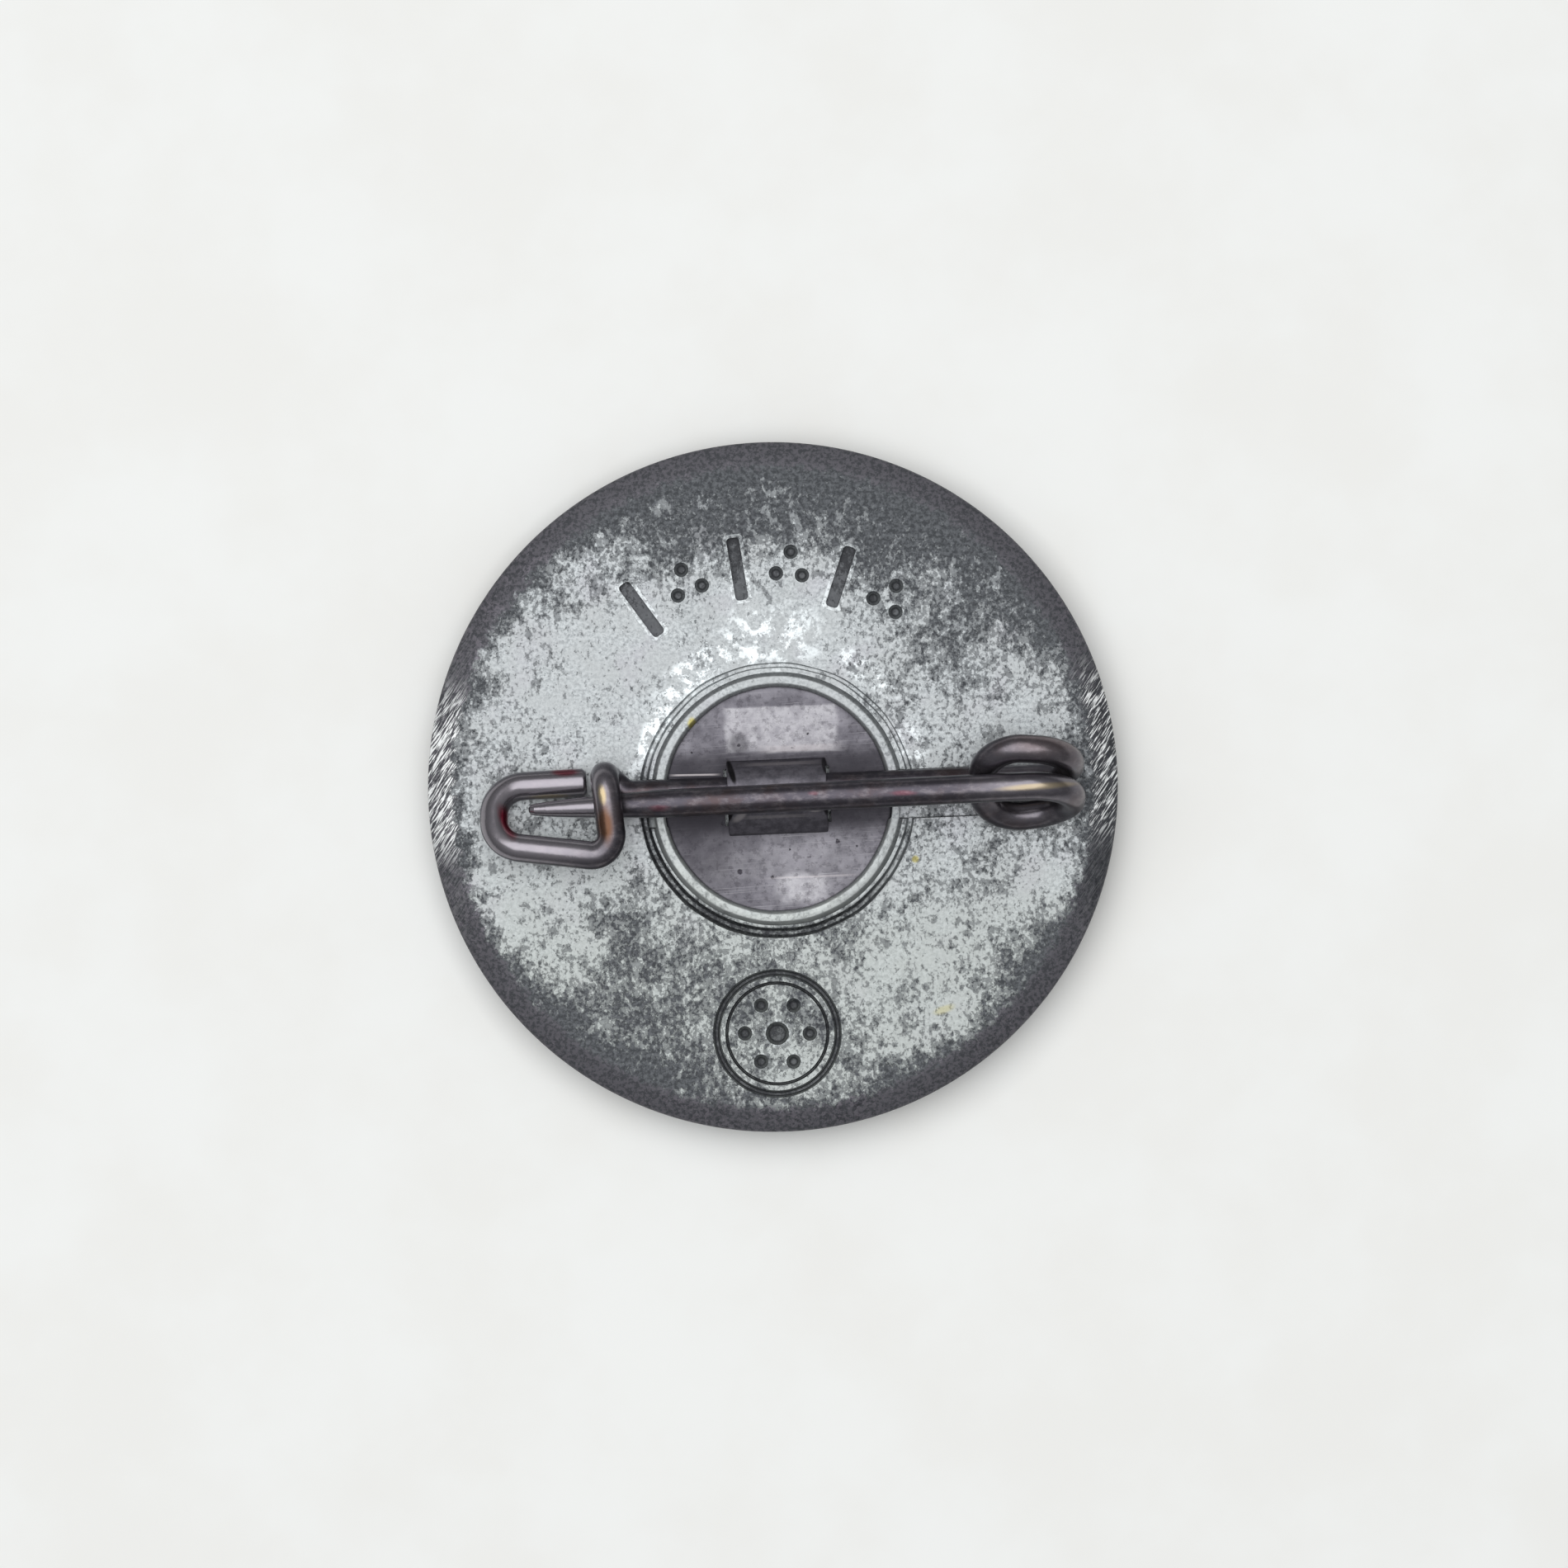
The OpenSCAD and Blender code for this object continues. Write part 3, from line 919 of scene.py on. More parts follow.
    def made(self, effects: Effects) -> bpy.types.Material:
        """Builds the material.

        Args:
            effects: The shared groups.

        Returns:
            The material.
        """
        material, bench, shader = new_material("zinc patina")
        place = bench.place()
        x, y, z = bench.split(place)
        flat = bench.node("CombineXYZ", {0: x, 1: y, 2: 0.0}).outputs[0]
        radius = bench.length(flat)
        ring = bench.length(bench.vector("SUBTRACT", flat, (*self.plate_spot, 0.0)))
        grain = bench.cloud(place, 8.0, 3, 0.7)
        cover = self.cover(bench, effects, flat, radius)
        flecks, fine = (
            bench.use(effects.flecks, Place=place, Grain=size, Stretch=stretch, Coverage=cover, Softness=soft)
            for size, stretch, soft in self.fleck_sizes
        )
        tarnish = bench.mix(0.5, flecks.outputs[0], fine.outputs[0])
        (rise, fall), (sink, lift) = self.lip, self.groove
        on_lip = bench.band(ring, (rise - 0.05, rise + 0.05), (fall - 0.05, fall + 0.05))
        in_groove = bench.band(ring, (sink - 0.04, sink + 0.06), (lift - 0.1, lift + 0.02))
        tarnish = bench.mix(bench.times(on_lip, 0.45), tarnish, (0.0, 0.0, 0.0))

        away = bench.vector("ADD", place, self.drift_shift)
        crust = bench.mix(bench.step(bench.cloud(away, 7.0, 3, 0.7), 0.38, 0.66), self.dark, self.ashen)
        colour = bench.mix(tarnish, self.body(bench, effects, place, flat, grain), crust)
        # Painted light: on the lower side only, the lip is painted pale as a highlight and the groove beside
        # it dark as shade.
        lowered = bench.math("ADD", bench.times(x, 0.35), y)
        painted_relief_side = bench.step(lowered, -3.6, 0.6, 1.0, 0.0)
        pale = bench.times(painted_relief_side, bench.step(bench.cloud(place, 1.4, 4, 0.6), 0.36, 0.6, 0.15, 0.8))
        colour = bench.mix(bench.times(on_lip, pale), colour, self.lip_highlight)
        colour = stained(bench, effects, self.specks, flat, colour, self.lichen)
        groove_shade = bench.times(in_groove, painted_relief_side, bench.step(grain, 0.36, 0.56, 0.35, 0.9))
        marked = bench.times(self.sunk(bench, place, ring, radius), 0.85)
        # Painted shade in the groove on the lower side; the floors of the punched marks are darkened with the
        # same colour.
        colour = bench.mix(bench.math("MAXIMUM", groove_shade, marked), colour, self.soot_and_shade)
        # Painted highlight: the tops of the low burrs round the punched marks are lightened as if catching
        # the light.
        burr = bench.times(
            bench.step(z, self.back + 0.004, self.back + 0.02), bench.step(ring, *self.past_groove),
            bench.step(grain, 0.4, 0.6, 0.0, 0.4),
        )
        colour = bench.mix(burr, colour, self.painted_highlight)

        fray = bench.step(bench.cloud(flat, 2.6, 5, 0.7), 0.35, 0.65, -0.16, 0.16)
        on_rim = bench.step(bench.math("ADD", radius, fray), self.rim_start - 0.02, self.rim_start + 0.14)
        painted_highlight, scratches = self.filing(bench, effects, place)
        filed = self.rim(bench, place, painted_highlight, scratches, flecks.outputs[0], grain)
        bench.feed(shader.inputs["Base Color"], bench.mix(on_rim, colour, filed))
        bench.feed(shader.inputs["Metallic"], bench.span(tarnish, *self.metallic))
        bench.feed(shader.inputs["Roughness"], bench.span(tarnish, *self.roughness))
        swell = bench.times(bench.cloud(place, 1.6, 4, 0.6), 0.9)
        height = bench.math("SUBTRACT", swell, bench.times(tarnish, 0.6))
        normal = bench.bump(height, self.relief, 0.5)
        normal = bench.bump(bench.times(painted_highlight, on_rim), self.relief, 0.6, normal)
        bench.feed(shader.inputs["Normal"], normal)
        return material


@dataclass(frozen=True)
class PlateSheet:
    """Dull grey sheet of the pin plate, worn smooth in patches that are also painted lighter as a sheen, with
    painted shadows, highlights and shade.
    """

    dull: Colour = tone(90, 88, 95)
    pale: Colour = tone(120, 118, 125)
    burnished_sheen: Colour = tone(152, 151, 155)
    # Lighter colour painted on the raised strap, as painted light on its sloping faces.
    strap: Colour = tone(116, 113, 121)
    shaded: Colour = tone(46, 44, 50)
    back: float = 2.0
    soot_and_shade: Colour = tone(52, 49, 56)
    # Light colour of the scratches and of the painted highlights along the strap.
    gleam: Colour = tone(176, 170, 172)
    # Colour of the painted shade in the strap's slits.
    slit: Colour = tone(24, 22, 25)
    metallic: float = 0.8
    roughness: Spot = (0.5, 0.38)
    relief: float = 0.02
    # Rubbed patches: worn smooth, and painted lighter as a sheen.
    patches: tuple[Patch, ...] = (
        Patch(0.28, 1.95, 1.85, 0.74, 2.3, 0.85, 0.05, 0.06, 1.0),
        Patch(1.0, 1.32, 1.2, 0.16, 2.3, 0.9, 0.05, 0.3, 1.0),
        Patch(1.0, -3.35, 0.85, 0.5, 4, 0.95, 0.1, 0.4, 0.6),
        Patch(1.2, -2.5, 1.8, 1.0, 0, 0.3, 0.15, 0.6),
        Patch(-0.6, -2.6, 2.2, 0.5, 4, 0.3, 0.2, 0.4, 0.6),
    )
    scratches: tuple[Patch, ...] = (
        Patch(1.3, -2.98, 1.3, 0.03, 2.3, 0.35, 0.02, 0.4, 1.0),
        Patch(-2.6, 0.4, 0.73, 0.03, 1.0, 0.75, 0.02, 0.3, 1.0),
        Patch(-2.75, 0.02, 0.4, 0.03, 4.0, 0.5, 0.05, 0.4, 1.0),
        Patch(0.9, 1.3, 1.1, 0.1, 2.3, 0.3, 0.1, 0.5, 1.0),
    )
    shadows: tuple[Patch, ...] = (
        Patch(0.1, -0.15, 4.4, 1.35, 2.3, 0.85, 0.05, 0.28, 1.0),
        Patch(-2.5, -1.9, 1.5, 1.7, 20, 0.55, 0.1, 0.6),
        Patch(-1.15, 1.45, 0.3, 0.35, 10, 0.6, 0.15, 0.4),
    )
    # Painted shade: dark marks at the ends of the strap, where its slits open.
    strap_slit_shade: tuple[Patch, ...] = (
        Patch(-1.38, 0.5, 0.1, 0.42, 18, 1.0, 0.1, 0.3),
        Patch(1.72, 0.72, 0.09, 0.26, 10, 0.9, 0.1, 0.3),
        Patch(-1.42, -0.9, 0.1, 0.3, -20, 1.0, 0.1, 0.3),
        Patch(1.78, -0.7, 0.1, 0.26, 10, 0.9, 0.1, 0.3),
    )
    # Painted highlights: light streaks along the top of the strap.
    strap_highlights: tuple[Patch, ...] = (
        Patch(0.2, 0.78, 1.1, 0.05, 2.3, 0.5, 0.1, 0.5, 1.0),
        Patch(-1.1, -1.0, 0.24, 0.1, 35, 0.7, 0.1, 0.5),
        Patch(0.1, -0.98, 1.0, 0.05, 2.3, 0.35, 0.1, 0.5, 1.0),
        Patch(1.4, -0.78, 0.2, 0.05, 0, 0.7, 0.25, 0.5),
    )

    def made(self, effects: Effects) -> bpy.types.Material:
        """Builds the material.

        Args:
            effects: The shared groups.

        Returns:
            The material.
        """
        material, bench, shader = new_material("plate sheet")
        place = bench.place()
        x, y, z = bench.split(place)
        flat = bench.node("CombineXYZ", {0: x, 1: y, 2: 0.0}).outputs[0]
        # Rubbed patches, painted lighter as a sheen as well as made smoother.
        light = strongest(bench, effects, self.patches, flat)
        worn = bench.step(bench.cloud(place, 3.0, 5, 0.7), 0.36, 0.64)
        mottle = bench.step(bench.cloud(place, 1.0, 5, 0.65), 0.35, 0.65)
        colour = bench.mix(mottle, self.dull, self.pale)
        shine = bench.times(light, bench.math("ADD", 0.45, bench.times(worn, 0.55)))
        colour = bench.mix(shine, colour, self.burnished_sheen)
        soot_and_shade = bench.use(effects.flecks, Place=place, Grain=4.5, Stretch=1.0, Coverage=0.3, Softness=0.05)
        colour = bench.mix(bench.times(soot_and_shade.outputs[0], 0.4), colour, self.soot_and_shade)
        pits = bench.use(effects.pits, Place=place, Spacing=0.55, Radius=0.075, Share=0.45)
        colour = bench.mix(pits.outputs[0], colour, self.soot_and_shade)
        turn = math.radians(4)
        lines = bench.use(effects.strokes, Place=place, Turn=turn, Width=0.03, Length=2.6, Amount=0.34)
        colour = bench.mix(bench.times(lines.outputs[0], 0.5), colour, self.burnished_sheen)
        colour = stained(bench, effects, self.shadows, flat, colour, self.shaded)
        # Painted light: the raised strap is painted lighter than the plate, to offset the dark reflections on
        # its sloping faces.
        raised = bench.step(z, self.back - 0.03, self.back + 0.04)
        colour = bench.mix(raised, colour, bench.mix(worn, self.strap, self.dull))
        # Real scratches, and painted highlights along the strap, in one light colour.
        colour = stained(bench, effects, self.scratches + self.strap_highlights, flat, colour, self.gleam)
        # Painted shade in the strap's slits.
        colour = stained(bench, effects, self.strap_slit_shade, flat, colour, self.slit)
        bench.feed(shader.inputs["Base Color"], colour)
        bench.feed(shader.inputs["Metallic"], self.metallic)
        bench.feed(shader.inputs["Roughness"], bench.span(light, *self.roughness))
        height = bench.math("SUBTRACT", bench.cloud(place, 3.0, 4, 0.6), pits.outputs[0])
        bench.feed(shader.inputs["Normal"], bench.bump(height, self.relief, 0.5))
        return material


@dataclass(frozen=True)
class TarnishedWire:
    """Dark spring wire, brown in places, with specks of lacquer, one ochre stain and painted highlights."""

    iron: Colour = tone(72, 69, 76)
    # Colour of the rubbed stretches, which also serves as a painted highlight on the coil and the needle's
    # start.
    polished_and_highlight: Colour = tone(132, 128, 134)
    brown: Colour = tone(78, 62, 60)
    worn: Colour = tone(150, 144, 148)
    ochre: Colour = tone(90, 58, 32)
    # Pale yellow colour of painted highlights.
    cream_highlight: Colour = tone(178, 160, 120)
    crimson: Colour = tone(126, 12, 42)
    metallic: float = 0.9
    roughness: Spot = (0.33, 0.24)
    relief: float = 0.01
    # Rubbed stretches on the guard, and painted highlights on the coil and along the needle's start.
    polish_and_highlight: tuple[Patch, ...] = (
        Patch(-8.0, -0.4, 2.6, 2.2, 0, 1.0, 0.05, 0.25, 0.5),
        Patch(8.6, 0.05, 1.4, 0.25, 4, 0.6, 0.1, 0.5),
        Patch(8.5, 0.3, 1.9, 1.8, 0, 0.35, 0.1, 0.4),
    )
    ochre_spots: tuple[Patch, ...] = (
        Patch(-5.52, -1.2, 0.24, 0.62, 8, 0.85, 0.2, 0.5),
    )
    # Painted highlights in pale yellow on the hook, the guard's upper leg and the start of the needle.
    cream_highlights: tuple[Patch, ...] = (
        Patch(-5.62, -0.25, 0.12, 0.3, 8, 0.75, 0.1, 0.5),
        Patch(8.7, 0.02, 1.1, 0.1, 4, 0.5, 0.1, 0.5),
        Patch(-7.4, -0.32, 0.6, 0.07, 2, 0.5, 0.1, 0.5),
    )
    crimson_spots: tuple[Patch, ...] = (
        Patch(-8.78, -1.15, 0.2, 0.5, 24, 0.95, 0.15, 0.5),
        Patch(-6.9, 0.52, 0.4, 0.14, 0, 0.75, 0.25, 0.5),
        Patch(1.33, -0.2, 0.16, 0.07, 0, 0.2, 0.3, 0.6),
        Patch(-3.75, -0.7, 0.3, 0.1, 0, 0.25, 0.3, 0.6),
        Patch(4.3, -0.2, 0.4, 0.08, 0, 0.25, 0.3, 0.6),
    )
    brown_spots: tuple[Patch, ...] = (
        Patch(9.0, 1.6, 1.2, 0.6, 0, 0.9, 0.2, 0.6),
        Patch(-8.9, 0.3, 0.9, 0.9, 0, 0.5, 0.2, 0.6),
    )

    def made(self, effects: Effects) -> bpy.types.Material:
        """Builds the material.

        Args:
            effects: The shared groups.

        Returns:
            The material.
        """
        material, bench, shader = new_material("tarnished wire")
        place = bench.place()
        brown = bench.step(bench.cloud(place, 0.8, 4, 0.6), 0.45, 0.7, 0.0, 0.6)
        brown = strongest(bench, effects, self.brown_spots, place, brown)
        colour = bench.mix(brown, self.iron, self.brown)
        # Rubbed stretches and painted highlights, lighter and smoother.
        gloss = strongest(bench, effects, self.polish_and_highlight, place)
        colour = bench.mix(gloss, colour, self.polished_and_highlight)
        worn = bench.use(effects.flecks, Place=place, Grain=2.2, Stretch=0.5, Coverage=0.3, Softness=0.12)
        colour = bench.mix(bench.times(worn.outputs[0], 0.25), colour, self.worn)
        colour = stained(bench, effects, self.ochre_spots, place, colour, self.ochre)
        # Painted highlights in pale yellow.
        colour = stained(bench, effects, self.cream_highlights, place, colour, self.cream_highlight)
        colour = stained(bench, effects, self.crimson_spots, place, colour, self.crimson)
        bench.feed(shader.inputs["Base Color"], colour)
        bench.feed(shader.inputs["Metallic"], self.metallic)
        bench.feed(shader.inputs["Roughness"], bench.span(gloss, *self.roughness))
        unevenness = bench.cloud(place, 4.0, 4, 0.6)
        bench.feed(shader.inputs["Normal"], bench.bump(unevenness, self.relief, 0.4))
        return material


@dataclass(frozen=True)
class CrimsonLacquer:
    """Clear crimson lacquer over engine-turned metal."""

    deep: Colour = (0.16, 0.002, 0.012)
    lit: Colour = (0.5, 0.01, 0.04)
    rays: int = 60
    metallic: float = 0.35
    roughness: Spot = (0.16, 0.3)
    coat_roughness: float = 0.05
    relief: float = 0.03

    def made(self, effects: Effects) -> bpy.types.Material:
        """Builds the material.

        Args:
            effects: The shared groups.

        Returns:
            The material.
        """
        material, bench, shader = new_material("crimson lacquer")
        place = bench.place()
        x, y, _ = bench.split(place)
        angle = bench.math("ARCTAN2", y, x)
        wave = bench.math("SINE", bench.times(angle, float(self.rays)))
        drift = bench.step(bench.cloud(place, 0.5), 0.3, 0.7, -0.12, 0.12)
        swirl = bench.math("ADD", bench.times(wave, 0.3), bench.math("ADD", drift, 0.5))
        colour = bench.mix(bench.step(swirl, 0.05, 0.95), self.deep, self.lit)
        bench.feed(shader.inputs["Base Color"], colour)
        dust = bench.use(effects.flecks, Place=place, Grain=6.0, Stretch=1.0, Coverage=0.2, Softness=0.1)
        bench.feed(shader.inputs["Metallic"], self.metallic)
        bench.feed(shader.inputs["Roughness"], bench.span(dust.outputs[0], *self.roughness))
        bench.feed(shader.inputs["Coat Weight"], 1.0)
        bench.feed(shader.inputs["Coat Roughness"], self.coat_roughness)
        bench.feed(shader.inputs["Normal"], bench.bump(bench.cloud(place, 0.9, 2), self.relief, 0.3))
        return material


@dataclass(frozen=True)
class PalePaper:
    """The matt white paper that the badge lies on."""

    white: Colour = tone(239, 240, 238)
    shade: Colour = tone(236, 236, 233)
    mote: Colour = tone(190, 180, 160)
    roughness: float = 0.95
    shine: float = 0.1
    relief: float = 0.05

    def made(self, effects: Effects) -> bpy.types.Material:
        """Builds the material.

        Args:
            effects: The shared groups.

        Returns:
            The material.
        """
        material, bench, shader = new_material("pale paper")
        place = bench.place()
        clouds = bench.step(bench.cloud(place, 0.12, 4, 0.6), 0.35, 0.65)
        colour = bench.mix(clouds, self.white, self.shade)
        pits = bench.use(effects.pits, Place=place, Spacing=9.0, Radius=0.25, Share=0.35)
        colour = bench.mix(bench.times(pits.outputs[0], 0.15), colour, self.mote)
        bench.feed(shader.inputs["Base Color"], colour)
        bench.feed(shader.inputs["Roughness"], self.roughness)
        bench.feed(shader.inputs["Specular IOR Level"], self.shine)
        bench.feed(shader.inputs["Normal"], bench.bump(bench.cloud(place, 2.0, 4, 0.6), self.relief, 0.1))
        return material


def dressed(piece: bpy.types.Object, material: bpy.types.Material) -> None:
    """Gives a piece one material all over."""
    piece.data.materials.clear()
    piece.data.materials.append(material)


# ---------------------------------------------------------------------------------------------
# The badge
# ---------------------------------------------------------------------------------------------


def low_corner(node: str) -> Vector:
    """Returns the lowest corner of a CAD node, in millimetres."""
    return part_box(node)[0] / MM


def high_corner(node: str) -> Vector:
    """Returns the highest corner of a CAD node, in millimetres."""
    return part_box(node)[1] / MM


@dataclass
class PlateFrame:
    """Where the pin plate and the wire stand on the disc."""

    turn: float = 2.3
    sink: float = 0.05
    thickness: float = 0.4

    def matrix(self) -> Matrix:
        """Works out the frame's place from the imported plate.

        Returns:
            From the plate's frame, whose plane z = 0 is the back of the disc, to the badge's.
        """
        low, high = low_corner("pin_plate"), high_corner("pin_plate")
        middle = (low + high) / 2
        back = low.z + self.thickness + self.sink
        return Matrix.Translation((middle.x, middle.y, back)) @ spun(self.turn)


@dataclass
class StruckDisc:
    """The zinc disc: relief on its front, pocket, lip, groove and punched marks on its back."""

    plate: PlateFrame
    rim_w: float = 0.75
    rim_drop: float = 0.35
    front_chamfer: float = 0.15
    border_w: float = 1.0
    cell_depth: float = 0.45
    cell_ring: Spot = (6.2, 6.8)
    relief_sink: float = 0.08
    boss_r: float = 3.3
    beads: int = 40
    bead_r: float = 0.22
    pocket_r: float = 3.88
    pocket_deep: float = 0.48
    lip: Spot = (3.72, 4.22)
    lip_h: float = 0.16
    groove: Spot = (4.32, 4.62)
    groove_deep: float = 0.12
    groove_lean: float = 1.0
    channel: tuple[float, float] = (-4.34, 7.95)
    channel_w: float = 1.65
    channel_deep: float = 0.12
    punch_deep: float = 0.16
    row_r: float = 7.35
    row_start: float = 58.5
    row_step: float = 13.6
    bar: Spot = (1.95, 0.28)
    burr: Spot = (1.4, 0.16)
    pip_r: float = 0.24
    pip_spread: float = 0.5
    row_marks: int = 6
    bar_burr: float = 1.08
    ring_slimming: float = 0.45
    seal: Spot = (0.15, -8.2)
    seal_r: float = 2.02
    seal_gap: float = 0.34
    seal_pips: int = 6
    seal_pip_ring: float = 1.08
    steps: int = 240
    ring_steps: int = 160
    unevenness: float = 0.035
    sizes: dict[str, float] = field(default_factory=dict)

    def __post_init__(self) -> None:
        """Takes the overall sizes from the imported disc."""
        high = high_corner("zinc_disc")
        self.sizes = {"radius": high.x, "back": high.z - self.lip_h}

    def blank(self) -> bmesh.types.BMesh:
        """Turns the disc before its back is worked.

        Returns:
            The blank, with the boss, the cells and the raised ring on its front.
        """
        radius, back = self.sizes["radius"], self.sizes["back"]
        border = radius - self.border_w
        rise = self.cell_depth - self.relief_sink
        ball = (self.boss_r**2 + rise**2) / (2 * rise)
        reaches = [self.boss_r * share for share in (0, 0.25, 0.5, 0.75, 1)]
        dome = [(reach, self.relief_sink + ball - math.sqrt(ball**2 - reach**2)) for reach in reaches]
        points = dome + [
            (self.cell_ring[0], self.cell_depth), (self.cell_ring[0], self.relief_sink),
            (self.cell_ring[1], self.relief_sink), (self.cell_ring[1], self.cell_depth),
            (border, self.cell_depth), (border, 0), (radius - self.front_chamfer, 0),
            (radius, self.front_chamfer), (radius, back - self.rim_drop), (radius - self.rim_w, back),
            (0, back),
        ]
        rounded = {6: 0.06, 7: 0.06, 10: 0.05, 11: 0.05, 12: 0.05, 13: 0.12, 14: 0.16}
        return turned(outline(points, rounded), self.steps)

    def pocket(self) -> bmesh.types.BMesh:
        """Makes the cutter for the plate's pocket."""
        points = [(0, -self.pocket_deep), (self.pocket_r, -self.pocket_deep), (self.pocket_r, 0.3), (0, 0.3)]
        return turned(outline(points), self.ring_steps)

    def bezel(self) -> bmesh.types.BMesh:
        """Turns the lip that is swaged over the edge of the plate.

        Returns:
            The lip, rooted in the wall of the pocket.
        """
        inner, outer = self.lip
        points = [
            (self.pocket_r, -0.2), (self.pocket_r, -0.02), (inner, -0.02), (inner, 0.08),
            (inner + 0.12, self.lip_h), (outer - 0.14, self.lip_h - 0.01), (outer, 0.02),
            (outer + 0.02, -0.2),
        ]
        return closed_ring(points, self.ring_steps, 0.03)

    def ring_groove(self) -> bmesh.types.BMesh:
        """Makes the cutter for the groove struck round the lip.

        Returns:
            A ring with sloping walls.
        """
        inner, outer = self.groove
        points = [
            (inner - 0.04, 0.12), (inner + 0.03, -0.03), (inner + 0.09, -self.groove_deep),
            (outer - 0.09, -self.groove_deep), (outer - 0.03, -0.03), (outer + 0.04, 0.12),
        ]
        return closed_ring(points, self.ring_steps, 0.02)

    def wire_channel(self) -> bmesh.types.BMesh:
        """Makes the cutter for the shallow groove under the wire.

        Returns:
            A long tray with sloping walls and rounded corners.
        """
        left, right = self.channel
        tray = bmesh.new()
        size = Matrix.Diagonal((right - left, self.channel_w, 2 * self.channel_deep, 1))
        bmesh.ops.create_cube(tray, size=1, matrix=out_along_x((left + right) / 2) @ size)
        bmesh.ops.bevel(
            tray, geom=tray.edges[:], offset=0.07, segments=3, profile=0.5, affect="EDGES", material=-1
        )
        return tray

    def marks(self, raised: bool) -> bmesh.types.BMesh:
        """Lays out every punched mark: the row along an arc, and the seal.

        Args:
            raised: True for the low burrs round the marks, False for the marks' own cutters.

        Returns:
            The shapes, on the plane z = 0.
        """
        depth, tools = self.punch_deep, []
        swell = slim = Matrix.Identity(4)
        if raised:
            wide, low = self.burr
            swell = Matrix.Diagonal((wide, wide, -low, 1))
            slim = Matrix.Diagonal((wide, self.bar_burr, -low, 1))
        for index in range(self.row_marks):
            spot = spun(self.row_start + index * self.row_step) @ out_along_x(self.row_r) @ spun(-90)
            if index % 2:
                tools.append(placed(tapered_bar(*self.bar, depth), spot @ slim))
                continue
            for corner in range(3):
                aside = spun(90 + 120 * corner) @ out_along_x(self.pip_spread)
                tools.append(placed(tapered_pit(self.pip_r, depth), spot @ aside @ swell))
        middle = Matrix.Translation((*self.seal, 0))
        if not raised:
            tools.extend(placed(ring, middle) for ring in self.seal_rings())
        for index in range(self.seal_pips):
            aside = spun(index * 360 / self.seal_pips) @ out_along_x(self.seal_pip_ring)
            tools.append(placed(tapered_pit(self.pip_r, depth), middle @ aside @ swell))
        tools.append(placed(tapered_pit(1.6 * self.pip_r, depth, 32), middle @ swell))
        return merged(tools)

    def seal_rings(self) -> list[bmesh.types.BMesh]:
        """Makes the cutters of the seal's two rings, the inner one slimmer.

        Returns:
            Both rings, round the origin.
        """
        depth, half, over = self.punch_deep, self.bar[1] / 2, 0.03
        rings = []
        for radius, width in ((self.seal_r, half), (self.seal_r - self.seal_gap, self.ring_slimming * half)):
            section = [
                (radius - width, over), (radius - 0.3 * width, -depth), (radius + 0.3 * width, -depth),
                (radius + width, over), (radius + width + over, depth), (radius - width - over, depth),
            ]
            rings.append(closed_ring(section, 96, over / 2))
        return rings

    def bead_ring(self) -> bpy.types.Object:
        """Sets the small beads along the raised ring on the front.

        Returns:
            The piece that holds all the beads.
        """
        ring = sum(self.cell_ring) / 2
        beads = bmesh.new()
        for index in range(self.beads):
            spot = spun(index * 360 / self.beads) @ out_along_x(ring, self.bead_r + 0.01)
            bmesh.ops.create_uvsphere(beads, u_segments=16, v_segments=10, radius=self.bead_r, matrix=spot)
        return finished(as_object(beads, "front_beads"), Matrix.Identity(4), 60)

    def build(self, zinc: bpy.types.Material) -> list[bpy.types.Object]:
        """Builds the disc and its beads.

        Args:
            zinc: The disc's material.

        Returns:
            The two pieces.
        """
        stand = self.plate.matrix()
        disc = as_object(self.blank(), "struck_disc")
        worked(disc, "DIFFERENCE", placed(self.pocket(), stand))
        worked(disc, "UNION", placed(uneven(self.bezel(), self.unevenness, 0.8), stand))
        lean = Matrix.Rotation(math.radians(self.groove_lean), 4, Vector((1, -0.4, 0)))
        worked(disc, "DIFFERENCE", placed(uneven(self.ring_groove(), self.unevenness, 0.9), stand @ lean))
        worked(disc, "DIFFERENCE", placed(self.wire_channel(), stand))
        face = Matrix.Translation((0, 0, self.sizes["back"]))
        worked(disc, "UNION", placed(self.marks(True), face))
        worked(disc, "DIFFERENCE", placed(self.marks(False), face))
        finished(disc, Matrix.Identity(4), 28)
        weigh = disc.modifiers.new("weighted", "WEIGHTED_NORMAL")
        weigh.keep_sharp = True
        beads = self.bead_ring()
        for piece in (disc, beads):
            dressed(piece, zinc)
            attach(piece, Body.BADGE.value)
        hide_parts("zinc_disc")
        return [disc, beads]


